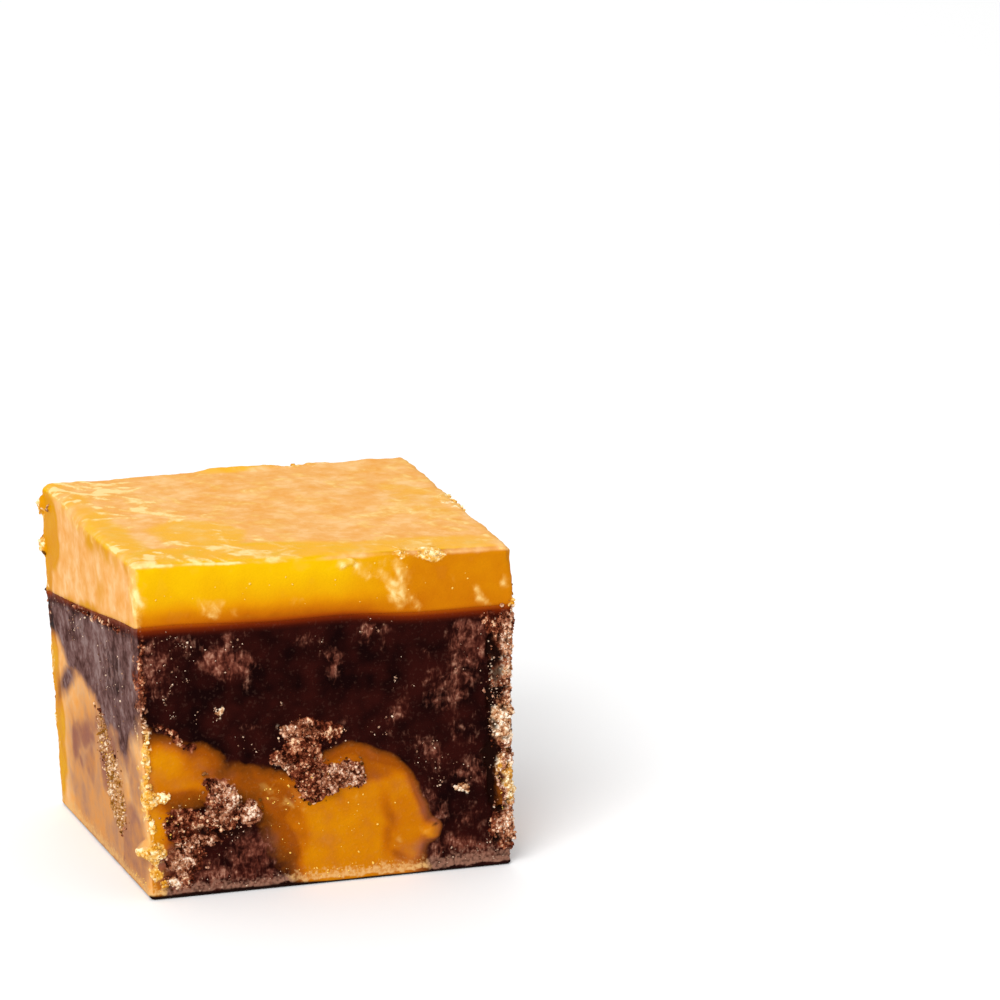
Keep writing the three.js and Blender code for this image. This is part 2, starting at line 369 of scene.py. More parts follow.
# Purer, more yellow fudge inside the swirls.
LEMON = on_faces(
    "front",
    (0.6, 3.5, 0.9, 4.0, 0, 0.35), (1.8, 11.0, 2.0, 1.3, 0, 0.15),
    (13.8, 3.2, 3.2, 2.2, -30, 0.12),
    "left",
    (0.6, 8.0, 3.2, 8.0, 0, 0.9),
    "right",
    (10.0, 2.4, 3.2, 1.6, 0, 0.6), (26.0, 8.0, 1.4, 3.0, 0, 0.6),
    "back",
    (12.6, 3.4, 2.4, 1.6, 0, 0.6), (28.0, 7.0, 1.6, 4.0, 0, 0.6),
)

# Brown, fibrous bloom where sugar dried out on the chocolate.
BLOOM = on_faces(
    "front",
    (7.0, 19.2, 1.9, 1.6), (7.6, 21.2, 0.6, 1.3, -8, 0.8), (7.6, 17.8, 1.0, 0.6, -35, 0.6),
    (1.6, 18.8, 1.6, 2.6, 0, 0.62), (3.6, 20.5, 0.9, 0.6, 0, 0.6),
    (13.3, 19.8, 0.9, 0.7, 20, 0.5), (14.5, 20.0, 0.4, 1.1, 15, 0.4),
    (15.5, 18.4, 0.5, 0.95, 8), (18.3, 21.0, 1.2, 1.1, -15, 0.75),
    (20.2, 20.6, 0.8, 1.4, -12, 0.6), (26.4, 19.2, 1.6, 3.0, -8, 0.72),
    (26.0, 16.0, 1.8, 1.9, -25, 0.62), (23.6, 16.0, 1.3, 1.6, 0, 0.52),
    (24.4, 14.6, 2.2, 0.8, -38, 0.65), (20.4, 13.9, 1.1, 1.9, -12, 0.6),
    (25.8, 12.2, 0.5, 1.9, 15, 0.55), (23.4, 10.3, 1.9, 1.0, -25, 0.7),
    (26.4, 8.4, 1.9, 1.2, -35, 0.6), (23.6, 6.0, 0.7, 2.0, 18, 0.75),
    (8.8, 13.4, 0.8, 0.7, 0, 0.5), (15.7, 13.7, 0.6, 0.5, 0, 0.6),
    (23.0, 18.2, 0.8, 1.4, 0, 0.35), (8.4, 3.0, 1.9, 1.7, 25, 0.9),
    (8.5, 1.5, 2.1, 1.0, 0, 0.85), (5.4, 1.5, 2.5, 1.0, 0, 0.8), (3.0, 2.6, 2.2, 2.4, 0, 0.9),
    (26.0, 4.6, 1.6, 1.0, -30, 0.5), (26.2, 1.7, 3.6, 1.1, 0, 0.8),
    "left",
    (11.0, 17.2, 2.6, 1.4, 20, 0.5), (17.5, 17.5, 3.6, 2.4, 25, 0.5),
    (24.0, 17.0, 1.6, 3.4, 0, 0.5), (4.0, 16.7, 3.0, 0.8, 5, 0.5),
    "right",
    (5.0, 17.0, 2.2, 2.6, -10, 0.8), (12.5, 14.5, 2.2, 1.4, 20, 0.7),
    (19.0, 16.5, 1.6, 2.0, 0, 0.8), (3.5, 5.5, 1.2, 3.0, 10, 0.7),
    (15.0, 2.5, 3.0, 1.4, 0, 0.7),
    "back",
    (8.0, 15.0, 2.4, 1.8, -15, 0.8), (15.5, 13.0, 1.4, 2.6, 0, 0.75),
    (23.0, 15.5, 2.6, 1.2, 20, 0.7), (18.5, 3.0, 2.4, 1.4, 0, 0.7),
)

# Left: a thin brown and purple haze over the orange fudge, with slow borders.
HAZE = on_faces(
    "left",
    (6.6, 7.2, 1.6, 2.6, -22), (8.0, 5.4, 1.6, 0.9, -42, 0.85), (9.6, 9.2, 3.8, 1.4, 12, 0.95),
    (12.4, 10.6, 3.0, 1.0, 0, 0.85), (13.0, 5.0, 10.0, 7.5, 0, 0.48),
    (10.6, 6.8, 2.2, 2.0, 0, 0.7), (12.0, 12.4, 4.6, 1.5, 0, 0.3),
    (16.8, 8.2, 3.4, 3.0, -20, 0.85), (18.6, 5.0, 2.6, 2.6, 0, 0.45),
    (23.0, 3.6, 4.6, 4.0, 0, 0.66), (19.9, 2.2, 0.7, 2.4, 4, 0.9), (20.6, 11.2, 3.0, 0.8, -22),
    (24.4, 8.8, 2.2, 2.6, 0, 0.55),
)

# Where the chocolate fudge broke into crumbs.
BROWN_CRUMBS = on_faces(
    # front: the raised clump
    "front",
    (12.9, 12.7, 1.7, 1.1, -12), (14.9, 12.4, 1.2, 0.6), (12.7, 10.9, 1.8, 1.4, -60),
    (11.1, 10.7, 1.0, 0.6), (13.6, 8.6, 1.6, 1.6), (15.0, 8.9, 2.0, 1.2), (16.7, 9.1, 1.0, 1.2),
    (17.3, 8.4, 0.6, 0.45),
    # front: the lower left, from a light strand down to dark broken chocolate
    (6.1, 8.4, 1.7, 0.8, -38), (6.2, 6.8, 1.2, 1.6, 10), (8.4, 6.7, 0.75, 0.95),
    (3.2, 5.9, 2.1, 1.3, -14, 0.75), (3.7, 4.4, 2.0, 0.5, 8, 0.9),
    (2.8, 3.1, 1.6, 1.3, 0, 0.55), (2.2, 1.5, 1.4, 0.7, 0, 0.5),
    # front: a fringe under the tongue of chocolate, and its edge over the band
    (2.4, 13.3, 1.4, 0.3, -42, 0.8), (3.8, 12.2, 0.5, 0.3, 0, 0.75),
    (0.32, 17.6, 0.25, 3.6, 0, 0.65),
    # front: the torn right edge
    (29.7, 18.9, 1.4, 2.7), (29.7, 15.4, 1.5, 1.4), (29.8, 12.0, 1.4, 2.2),
    (30.0, 7.6, 1.3, 3.6), (29.7, 3.4, 1.4, 1.8), (28.4, 20.4, 0.6, 1.3, 20, 0.6),
    "right",
    (0.6, 12.0, 0.9, 9.0, 0, 0.8),
    # left: a thin broken line under the seam, and a rough place
    "left",
    (16.0, 19.9, 8.0, 0.2, 7, 0.65), (15.0, 10.6, 2.2, 1.5, -40, 0.24),
    (16.8, 8.4, 3.2, 2.3, -40, 0.26), (18.6, 6.4, 2.9, 2.2, -50, 0.25),
    (19.8, 4.6, 1.5, 1.3, 0, 0.23),
    "right",
    (7.6, 9.4, 1.8, 1.0, 20), (9.3, 8.2, 1.2, 1.7, -15), (10.8, 7.0, 1.3, 0.8),
    (19.0, 13.4, 1.5, 0.7, 25), (20.2, 12.6, 0.8, 1.0, 0, 0.9), (26.7, 5.0, 0.3, 4.0, 0, 0.6),
    "back",
    (10.8, 9.8, 1.9, 0.9, -25), (12.6, 8.4, 1.1, 1.7, 10), (14.0, 9.4, 1.0, 0.7),
    (21.4, 13.2, 1.4, 0.7, 15), (22.5, 12.4, 0.8, 0.9, 0, 0.9), (0.3, 16.0, 0.3, 4.0, 0, 0.6),
    (29.7, 17.0, 0.25, 2.5, 0, 0.5),
)

# Where they are paler, from tan where the strength is low to cream: sugar and orange fudge
# mixed in.
PALE_CRUMBS = on_faces(
    # front: down the left edge
    "front",
    (0.36, 11.6, 0.26, 3.2, 0, 0.75), (0.9, 8.3, 1.1, 0.55, 8, 0.9),
    (0.3, 6.2, 0.25, 1.4, 0, 0.8), (0.5, 4.0, 0.8, 0.7), (0.4, 2.3, 0.35, 0.8, 0, 0.8),
    (1.6, 1.2, 0.9, 0.35, 0, 0.7),
    # left: a rough place
    "left",
    (16.0, 9.4, 3.2, 2.0, -40, 0.2), (18.4, 6.6, 3.4, 2.5, -45, 0.22),
    # front: tan places in the clump and in the lower left
    "front",
    (15.9, 8.9, 1.9, 1.1, 0, 0.3), (12.3, 13.0, 1.3, 0.6, -10, 0.32),
    (11.2, 10.3, 0.8, 0.5, 0, 0.3), (6.6, 8.0, 1.6, 0.7, -38, 0.4),
    (5.8, 6.4, 0.9, 0.8, 0, 0.3), (8.4, 6.7, 0.7, 0.9, 0, 0.4), (3.4, 4.3, 1.8, 0.35, 8, 0.35),
    (2.4, 2.9, 1.0, 0.8, 0, 0.35),
    # front: the torn right edge
    (29.9, 18.9, 0.9, 1.8, 0, 0.62), (29.6, 16.5, 0.8, 0.5, 0, 0.85),
    (29.3, 12.4, 0.9, 1.6, 0, 0.95), (28.8, 13.2, 0.5, 0.5, 0, 0.9),
    (29.9, 10.6, 0.8, 0.8, 0, 0.7), (29.8, 7.0, 0.9, 2.4, 0, 0.8),
    (29.1, 8.6, 0.6, 1.3, 0, 0.55), (29.6, 3.4, 0.8, 1.2, 0, 0.6),
    (29.9, 22.4, 0.4, 0.8, 0, 0.7), (25.5, 7.0, 0.5, 0.35), (6.0, 15.1, 0.22, 0.3, 0, 0.8),
    # the top edge of the front, and flakes off the back left edge
    (23.4, 26.7, 1.1, 0.5, 0, 0.75), (21.0, 27.0, 0.6, 0.2, 0, 0.7),
    "left",
    (0.2, 25.2, 0.6, 0.7, 0, 0.9), (0.1, 21.9, 0.6, 0.7, 0, 0.9),
    "right",
    (0.2, 15.0, 0.4, 5.0, 0, 0.6), (26.7, 12.0, 0.3, 2.6, 0, 0.7),
    (8.8, 8.6, 1.2, 0.6, -20, 0.4), (13.0, 26.9, 2.4, 0.3, 0, 0.7),
    "back",
    (29.7, 10.0, 0.3, 4.0, 0, 0.7), (12.4, 9.2, 1.2, 0.6, 0, 0.4),
    (9.0, 26.9, 2.2, 0.3, 0, 0.7),
)

# A raised flap on the back of the top, and small pits and cracks.
FLAPS = on_faces("top", (16.0, 26.9, 3.1, 0.9))
PITS = on_faces(
    "front",
    (23.5, 4.3, 0.16, 0.15),
    # the torn right edge
    (28.2, 8.4, 0.45, 3.8, 2), (28.4, 18.2, 0.45, 1.7, 6), (29.3, 17.6, 0.5, 0.22, -30, 0.9),
    (29.0, 19.6, 0.22, 0.5, 10, 0.8), (29.1, 14.8, 0.9, 0.7, 10), (28.3, 14.6, 0.45, 1.2),
    (28.3, 12.4, 0.3, 0.5, -20, 0.9), (29.5, 10.2, 0.5, 0.25, -15, 0.9),
    (29.0, 11.2, 0.3, 0.2, 0, 0.8), (29.2, 7.6, 0.3, 0.4, 0, 0.8), (29.0, 4.8, 0.7, 0.3, 20),
    (28.7, 2.6, 0.4, 0.6), (29.8, 2.4, 0.3, 0.25, 0, 0.8), (28.8, 16.4, 0.35, 0.5, 20, 0.9),
    (29.6, 19.4, 0.22, 0.35, 0, 0.8), (29.4, 13.7, 0.35, 0.28, 0, 0.9),
    (29.6, 5.5, 0.3, 0.45, 10, 0.9), (29.5, 9.0, 0.22, 0.35, 0, 0.8),
    # between the crumbs of the lower left
    (6.8, 5.0, 1.6, 0.4, 0, 0.6), (4.4, 5.4, 0.9, 0.3, -10, 0.7), (2.4, 4.5, 0.5, 0.25, 0, 0.7),
    (5.0, 7.2, 0.4, 0.3, 20, 0.6),
    "right",
    (8.0, 7.2, 1.0, 0.3, -20, 0.8),
    "back",
    (11.4, 8.2, 0.9, 0.3, 0, 0.8),
)

# Pale smears and scuffs on the orange fudge, and a painted highlight along the left side's top
# edge.
SMEARS_AND_HIGHLIGHTS = on_faces(
    "front",
    (0.0, 24.4, 0.5, 2.4), (0.5, 23.2, 0.5, 1.2, 0, 0.5), (0.6, 25.4, 0.7, 1.6, 0, 0.35),
    (5.9, 23.2, 1.3, 0.65, -35, 0.7), (5.1, 24.0, 0.4, 0.7, 0, 0.5),
    (7.0, 23.6, 0.4, 0.3, 0, 0.5), (8.0, 23.0, 0.8, 0.3, -20, 0.35),
    (12.8, 23.5, 0.9, 0.4, 15, 0.4), (16.3, 26.2, 0.55, 0.5, -30),
    (17.3, 25.9, 0.55, 0.45, -35), (18.6, 25.3, 2.0, 0.7, -18, 0.6),
    (20.7, 25.4, 0.55, 1.2, 10, 0.8), (20.7, 23.9, 0.8, 1.5, 18, 0.85),
    (21.4, 24.4, 0.45, 0.9, -20, 0.7), (22.0, 22.9, 0.4, 1.0, 25, 0.8),
    (19.7, 26.4, 0.5, 0.4, 0, 0.6), (23.6, 25.0, 1.2, 0.5, 0, 0.3),
    (24.6, 24.6, 0.3, 0.5, 20, 0.5), (27.4, 23.0, 0.6, 1.2, 30, 0.7),
    (28.1, 22.0, 0.5, 0.8, 20, 0.6), (29.4, 23.9, 0.3, 0.4, 0, 0.9),
    (0.1, 10.0, 0.4, 5.5, 0, 0.5), (0.4, 4.2, 0.8, 1.1, 0, 0.6),
    (11.6, 6.9, 1.9, 0.5, -20, 0.4), (10.0, 8.1, 1.3, 0.5, -20, 0.4),
    (16.9, 6.8, 0.3, 0.35, 0, 0.6), (20.3, 3.2, 0.6, 0.6, 0, 0.4),
    (22.6, 3.9, 0.4, 0.5, 0, 0.4),
    "left",
    # The first runs along the top edge and is a painted highlight.
    (14.0, 26.5, 9.0, 0.5, 2, 0.7), (26.0, 23.5, 0.9, 3.4, 0, 0.35),
    "right",
    (8.0, 24.0, 1.6, 0.7, -25, 0.7), (17.0, 23.0, 0.8, 1.6, 15, 0.7),
    "back",
    (9.0, 23.5, 1.8, 0.6, 20, 0.7), (21.0, 22.5, 0.8, 1.5, -15, 0.7),
)

# Freshly broken spots on the dry sides, where the fudge kept its full colour, with no dry skin and
# no painted sheen on them.
FRESH = on_faces(
    "left",
    (0.6, 23.6, 4.2, 3.8), (0.0, 20.0, 2.4, 3.4), (-0.4, 9.0, 3.5, 9.8),
    (17.6, 23.5, 1.2, 2.4, -5, 0.3), (13.5, 19.7, 14.5, 0.4, 8.4, 0.9),
    (9.0, 17.2, 2.6, 1.0, 0, 0.35), (19.5, 16.4, 3.2, 2.0, 20, 0.4),
    (21.0, 11.0, 2.0, 0.8, 0, 0.4),
    "top",
    (1.2, 9.0, 1.8, 8.0, 0, 0.7), (1.0, 19.0, 0.9, 5.0, 0, 0.5),
    (3.0, 2.0, 3.4, 2.4, -20, 0.85), (10.0, 2.0, 9.0, 2.8, 0, 0.85),
    (7.5, 8.0, 3.6, 4.4, 0, 0.66), (22.0, 1.6, 8.0, 2.0, 0, 0.6),
    (16.0, 26.6, 3.2, 1.0, 0, 0.9), (6.5, 26.8, 1.4, 0.7, 0, 0.6),
    (27.0, 14.0, 2.6, 6.0, 0, 0.35),
)

# Tiny loose grains of sugar. The strength is how thickly they lie.
SUGAR = on_faces(
    # a ring of grains, single beads and small drifts on the chocolate of the front
    "front",
    (3.5, 17.5, 0.7, 0.15, 10, 34.0), (2.5, 17.0, 0.2, 0.5, -30, 40.0),
    (2.1, 16.0, 0.15, 0.7, 8, 40.0), (2.6, 14.9, 0.3, 0.3, 40, 34.0),
    (2.6, 19.4, 2.2, 2.2, 0, 4.0), (3.7, 20.6, 0.4, 0.3, 0, 12.0),
    (4.5, 14.5, 0.25, 0.6, -20, 16.0), (5.8, 14.4, 0.4, 0.4, 0, 9.0),
    (6.0, 15.1, 0.13, 0.24, 0, 160.0), (11.3, 15.2, 0.12, 0.25, 0, 110.0),
    (7.8, 12.3, 0.5, 0.7, 0, 6.0), (8.9, 11.8, 0.5, 0.7, 0, 10.0),
    (7.0, 19.5, 1.8, 1.5, 0, 1.6), (14.3, 19.8, 0.6, 1.1, 0, 4.0),
    (18.8, 21.0, 1.5, 1.0, 0, 4.0), (20.5, 16.6, 0.1, 0.4, -15, 90.0),
    (20.3, 15.9, 0.2, 0.3, 0, 10.0), (22.0, 16.0, 0.3, 0.3, 0, 8.0),
    (21.0, 18.2, 0.15, 0.2, 0, 9.0), (19.4, 12.8, 1.4, 0.9, 0, 5.0), (26.5, 18.0, 1.6, 3.5),
    (23.3, 10.0, 1.6, 1.4, 0, 4.0), (23.8, 7.9, 0.5, 0.7, -40, 14.0),
    (26.0, 6.8, 0.3, 0.3, 0, 10.0), (26.5, 8.5, 1.6, 1.4, 0, 2.0),
    # the torn right edge
    (29.0, 18.0, 1.0, 3.6, 0, 9.0), (29.0, 15.0, 0.9, 0.9, 0, 16.0),
    (28.8, 12.6, 0.9, 1.9, 0, 12.0), (28.9, 7.0, 0.8, 2.6, 0, 5.0),
    (28.7, 2.6, 1.2, 1.6, 0, 9.0),
    # the powdered foot, the clumps and the orange
    (9.0, 1.0, 14.0, 0.6, 0, 5.0), (26.0, 1.4, 4.0, 0.9, 0, 5.0),
    (13.5, 10.5, 3.5, 3.0, 0, 1.6), (5.0, 6.0, 3.5, 3.0, 0, 4.0),
    (11.0, 7.4, 2.0, 0.8, -20, 4.0), (15.0, 5.0, 6.0, 4.5, 0, 0.6),
    (14.0, 24.5, 14.0, 2.0, 0, 0.4),
    "left",
    (9.0, 17.2, 2.6, 1.2, 20, 4.0), (19.0, 15.5, 5.0, 3.5, 0, 1.4),
    (13.5, 19.4, 13.5, 0.5, 8.4, 2.0), (17.2, 8.0, 3.0, 1.6, -40, 3.0),
    "right",
    (6.0, 15.0, 4.0, 4.0, 0, 2.0), (18.0, 12.0, 5.0, 4.0, 0, 1.4),
    "back",
    (10.0, 12.0, 6.0, 4.0, 0, 1.6), (22.0, 13.0, 4.0, 4.0, 0, 1.6),
)

# Crumbs that fell on the dry skin of the slab.
STRAY_CRUMBS = on_faces("left", (2.5, 25.5, 0.36, 0.3, 0, 2))

# Crumbs that stand up as lumps: across, up, spread wide, spread high, how many, their radius,
# and how far they stand out for it.
LUMPS = on_faces(
    "front",
    (13.3, 12.4, 1.9, 1.1, 11, 0.72, 0.7), (12.6, 10.4, 1.3, 1.0, 6, 0.75, 0.7),
    (14.0, 8.6, 2.0, 1.0, 11, 0.75, 0.7), (16.7, 9.0, 0.8, 0.9, 5, 0.65, 0.7),
    (6.1, 7.3, 1.2, 1.8, 12, 0.62, 0.7), (8.5, 6.9, 0.4, 0.5, 3, 0.6, 0.7),
    (3.0, 6.2, 1.7, 1.5, 8, 0.5, 0.5), (2.8, 3.0, 1.4, 1.4, 7, 0.5, 0.5),
    (23.1, 3.7, 0.15, 0.1, 2, 0.85, 0.7), (25.5, 7.0, 0.2, 0.1, 2, 0.32, 0.7),
    (6.0, 15.1, 0.05, 0.1, 1, 0.2, 0.7), (29.3, 18.2, 0.4, 1.6, 5, 0.6, 0.7),
    (29.2, 12.0, 0.5, 1.9, 7, 0.65, 0.7), (29.2, 6.6, 0.4, 1.9, 6, 0.6, 0.7),
    (0.3, 8.8, 0.3, 0.6, 3, 0.45, 0.7),
    "left",
    (26.6, 4.1, 0.2, 0.4, 2, 0.95, 0.9),
    "right",
    (8.0, 9.2, 1.4, 0.9, 7, 0.65, 0.7), (9.8, 7.6, 0.9, 0.9, 5, 0.6, 0.7),
    (19.4, 13.1, 1.0, 0.6, 5, 0.55, 0.7),
    "back",
    (11.2, 9.5, 1.4, 0.7, 7, 0.65, 0.7), (12.9, 8.6, 0.9, 1.0, 5, 0.6, 0.7),
    (21.8, 12.9, 1.0, 0.6, 5, 0.55, 0.7),
    "front",
    (16.8, 26.2, 0.3, 0.2, 2, 0.45, 0.5), (23.2, 26.5, 0.8, 0.1, 4, 0.4, 0.6),
    "left",
    (2.5, 25.5, 0.05, 0.05, 1, 0.4, 0.8), (0.2, 25.2, 0.1, 0.2, 1, 0.75, 0.8),
    (0.1, 21.9, 0.1, 0.2, 1, 0.8, 0.8),
)


def reach(mark, p):
    """How far inside a mark's edge each point is, in mm; below 0 is outside.

    A mark reaches 1.2 to 2.5 mm into the fudge, the larger the deeper.
    """
    face, across, up, wide, high, tilt = mark[:6]
    spot, *directions = FACES[face]
    right, upward, out = (np.array(v, float) for v in directions)
    turn = math.radians(tilt)
    along = right * math.cos(turn) + upward * math.sin(turn)
    athwart = upward * math.cos(turn) - right * math.sin(turn)
    away = p - np.array(spot(across, up), float)
    deep = min(2.5, max(1.2, 0.6 * math.sqrt(wide * high)))
    q = np.stack([away @ along / wide, away @ athwart / high, away @ out / deep], axis=-1)
    return (1.0 - np.linalg.norm(q, axis=-1)) * min(wide, high)


def cover(marks, p, soft):
    """0 to 1: how strongly marks cover each point, fading soft mm either side of their edges."""
    total = np.zeros(len(p))
    for mark in marks:
        total = np.maximum(total, mark[6] * smooth(reach(mark, p), -soft, soft))
    return total


# ------------------------------------------------------------------ what the fudge is like where


def cocoa_level(p):
    """mm from orange into chocolate: above 0 is chocolate.

    Swirls less than about melt mm apart run together, and a weaker vein is a thinner one.
    """
    melt = 0.25
    q = wandered(wandered(p, 0.3, 4.0, 3), 0.14, 1.2, 9)
    joined = np.full(len(p), 1e-4)
    for mark in ORANGE_SWIRLS:
        joined += np.exp(np.clip(mark[6] * reach(mark, q), -4.0, 8.0) / melt)
    level = -melt * np.log(joined)
    for mark in CHOCOLATE_VEINS:
        level = np.maximum(level, reach(mark, q) - (1.0 - mark[6]) * 0.7)
    level *= mix(1.0, 0.4, cover(STIRRED, q, 0.8))
    return np.where(above_seam(p) > 0.01, -3.0, np.clip(level, -3.0, 3.0))


def crumbly(marks, p):
    """0 to 1: how far broken into crumbs, with ragged borders."""
    q = wandered(wandered(p, 0.32, 1.5, 21), 0.3, 0.45, 27)
    return cover(marks, q, 0.26)


def lump_height(p):
    """Height of the lumps of stuck crumbs, in mm, laid like sunflower seeds in each patch."""
    height = np.zeros(len(p))
    for face, across, up, wide, high, count, size, flat in LUMPS:
        spot, *directions = FACES[face]
        right, upward, _ = (np.array(v, float) for v in directions)
        centre = np.array(spot(across, up), float)
        near = np.linalg.norm((p - centre) / (wide + 1.5, wide + 1.5, high + 1.5), axis=-1) < 1.2
        q = wandered(wandered(p[near], 0.3, 1.0, 33), 0.12, 0.4, 35)
        best = height[near]
        for i in range(count):
            angle = i * GOLDEN_ANGLE
            away = math.sqrt((i + 0.5) / count)
            shift = right * wide * away * math.cos(angle) + upward * high * away * math.sin(angle)
            radius = size * (1.15 - 0.35 * away + 0.12 * math.sin(3 * i))
            d = np.linalg.norm(q - centre - shift, axis=-1)
            best = np.maximum(best, np.sqrt(np.clip(radius**2 - d**2, 0.0, None)) * flat)
        height[near] = best
    return height * (0.85 + 0.35 * rough(p, 0.7, 77))


def pit_level(p):
    """0 to 1: how deep in a pit or crack."""
    return cover(PITS, wandered(wandered(p, 0.35, 1.6, 85), 0.2, 0.5, 83), 0.15)


def relief(p):
    """How far the surface stands out of the smooth block, in mm, and each grain's tone."""
    broken = np.maximum(crumbly(BROWN_CRUMBS, p), crumbly(PALE_CRUMBS, p))
    coarse, tone = grains(wandered(p, 0.1, 0.5, 41), 0.42, 51)
    fine, _ = grains(p, 0.22, 61)
    pebbles = broken * (0.28 * coarse + 0.12 * fine - 0.16)
    wavy = 0.035 * rough(p, (3.0, 3.0, 5.0), 71) + 0.006 * rough(p, 0.5, 73)
    a, b, c = p.T
    to_faces = np.sort(np.stack([a, LENGTH - a, b, DEPTH - b, HEIGHT - c]), axis=0)
    edge = 1.0 - smooth(to_faces[1], 0.15, 1.1)
    chipped = edge * (0.13 * rough(p, 1.2, 75) - 0.03)
    flap = 0.3 * cover(FLAPS, wandered(p, 0.3, 1.0, 79), 0.25)
    drags = 0.04 * smear_and_highlight_level(p)
    raised = lump_height(p) * 0.9 + pebbles + wavy + chipped + flap + drags
    return (raised - 0.35 * pit_level(p)) * smooth(c, 0.1, 0.6), tone


def dryness_and_sheen(p):
    """How dry and dull the skin is, with a painted sheen on it: the slab's own top and left side,
    less so right and back.
    """
    left = 1.0 - smooth(p[:, 0], 0.05, 0.3)
    right = smooth(p[:, 0], LENGTH - 0.4, LENGTH - 0.1)
    back = smooth(p[:, 1], DEPTH - 0.4, DEPTH - 0.1)
    dry = np.maximum.reduce([on_top(p), left, 0.25 * right, 0.4 * back])
    return dry * (1.0 - cover(FRESH, wandered(p, 0.5, 2.0, 81), 0.7))


def amber_level(p, cocoa):
    """0 is bright and yellow, 1 the brown amber next to chocolate."""
    above = above_seam(p)
    front = 1.0 - smooth(p[:, 1], 0.2, 0.6)
    top = on_top(p)
    slow_fall = mix(0.2, 0.32, smooth(p[:, 0], 3.0, 9.0))
    clean = 0.08 + 0.42 * (1.0 - smooth(above, 0.0, 2.2))
    clean += slow_fall * (1.0 - smooth(above, 0.5, 4.5))
    # The front's right end is a deeper orange: a painted shade, kept at part strength.
    clean = mix(clean, 0.66, 0.85 * smooth(p[:, 0], 15.0, 23.0) * front)
    clean = mix(clean, 0.4, (1.0 - front) * (1.0 - top))
    clean = mix(clean, 0.0, top * (1.0 - front))
    swirl = 0.6 + 0.26 * (1.0 - smooth(-cocoa, 0.0, 1.5)) + 0.25 * cover(AMBER_CURLS, p, 0.4)
    swirl -= 0.3 * cover(LEMON, wandered(p, 0.3, 1.2, 89), 0.5)
    level = np.where(above > -0.001, clean, swirl)
    return np.clip(level + 0.04 * rough(p, 2.5, 91), 0.0, 0.92)


def streaks(p, along, long, wide, seed):
    """Smear streaks that run along a direction, from 0 to 1."""
    along = np.array(along, float) / np.linalg.norm(along)
    squeezed = p + np.outer(p @ along, along) * (wide / long - 1.0)
    return 0.5 + 0.5 * rough(squeezed, wide, seed)


def smear_and_highlight_level(p):
    """Pale smears: the placed ones, a painted highlight along the front's top edge, and the
    knife's drags on top.
    """
    a, b, c = p.T
    top = on_top(p)
    ragged = wandered(wandered(p, 0.35, 1.2, 101), 0.15, 0.4, 107)
    strokes = streaks(p, (0.45, 0.0, -0.9), 1.8, 0.35, 109)
    smeared = cover(SMEARS_AND_HIGHLIGHTS, ragged, 0.5) * mix(0.5, 1.15, strokes)
    # A painted highlight along the front's top edge, fainter to the right.
    painted_edge_highlight = 1.0 - smooth(np.abs(c - HEIGHT + 0.1) + b, 0.05, 0.45)
    painted_edge_highlight *= mix(1.0, 0.35, smooth(a, 8.0, 13.0)) * (0.7 + 0.3 * noise(p, 0.9, 111))
    bent = wandered(p, 0.8, 4.0, 117)
    long_drags = smooth(streaks(bent, (0.55, -0.83, 0.0), 4.0, 0.8, 121), 0.45, 0.85)
    short_drags = smooth(streaks(bent, (0.8, -0.6, 0.0), 2.0, 0.6, 123), 0.5, 0.9)
    patches = smooth(rough(bent, 1.8, 125), 0.0, 0.55)
    zone = mix(1.35, 0.8, smooth(a, 5.0, 14.0)) * (0.8 + 0.35 * rough(p, 5.0, 127))
    drawn = top * zone * np.maximum.reduce([0.8 * long_drags, 0.8 * short_drags, 0.85 * patches])
    corner = top * (1.0 - smooth(a + 0.25 * b, 0.5, 3.5)) * (0.5 + 0.3 * noise(p, 0.8, 129))
    return np.clip(np.maximum.reduce([smeared, painted_edge_highlight, drawn, corner]), 0.0, 1.0)


def frost_level(p):
    """Fine powdered sugar just above the foot, thinning out upwards."""
    ragged = p[:, 2] + 0.3 * rough(p, 0.9, 131)
    reach_up = 1.8 + 0.8 * smooth(p[:, 0], 22.0, 27.0)
    return smooth(ragged, 0.25, 0.5) * (1.0 - smooth(ragged, 0.3, reach_up))


def painted_hollow_shade_level(p):
    """Painted shade, deep and dark: in the pits, and along the foot under its powder."""
    thick = mix(0.42, 0.2, smooth(p[:, 0], 11.0, 16.0)) * (1.0 - smooth(p[:, 1], 0.2, 1.0))
    foot = 1.0 - smooth(p[:, 2] + 0.06 * rough(p, 1.5, 141), thick * 0.6, thick + 0.08)
    return np.maximum(foot, pit_level(p))


def bloom_level(p):
    """0 to 1: how thick the dried sugar is on chocolate, or the haze on orange."""
    q = wandered(wandered(p, 0.7, 2.5, 151), 0.35, 0.8, 157)
    return np.maximum(cover(BLOOM, q, 0.9), cover(HAZE, q, 1.4))


def seam_level(p):
    """mm above the middle of the blend between the layers, which sinks towards the sides."""
    sunk = 0.3 * smooth(np.abs(p[:, 0] - 13.0), 3.0, 9.0)
    return np.clip(above_seam(p) + sunk, -1.2, 1.2)


def point_levels(p):
    """Every point value that the two fudge materials read, but for the grains' own tone."""
    cocoa = cocoa_level(p)
    return {
        "cocoa": cocoa,
        "amber": amber_level(p, cocoa),
        "bloom": bloom_level(p),
        "brown": crumbly(BROWN_CRUMBS, p),
        "pale": crumbly(PALE_CRUMBS, p),
        "smear": smear_and_highlight_level(p),
        "dry": dryness_and_sheen(p),
        "frost": frost_level(p),
        "hollow": painted_hollow_shade_level(p),
        "seam": seam_level(p),
    }


# ------------------------------------------------------------------ materials


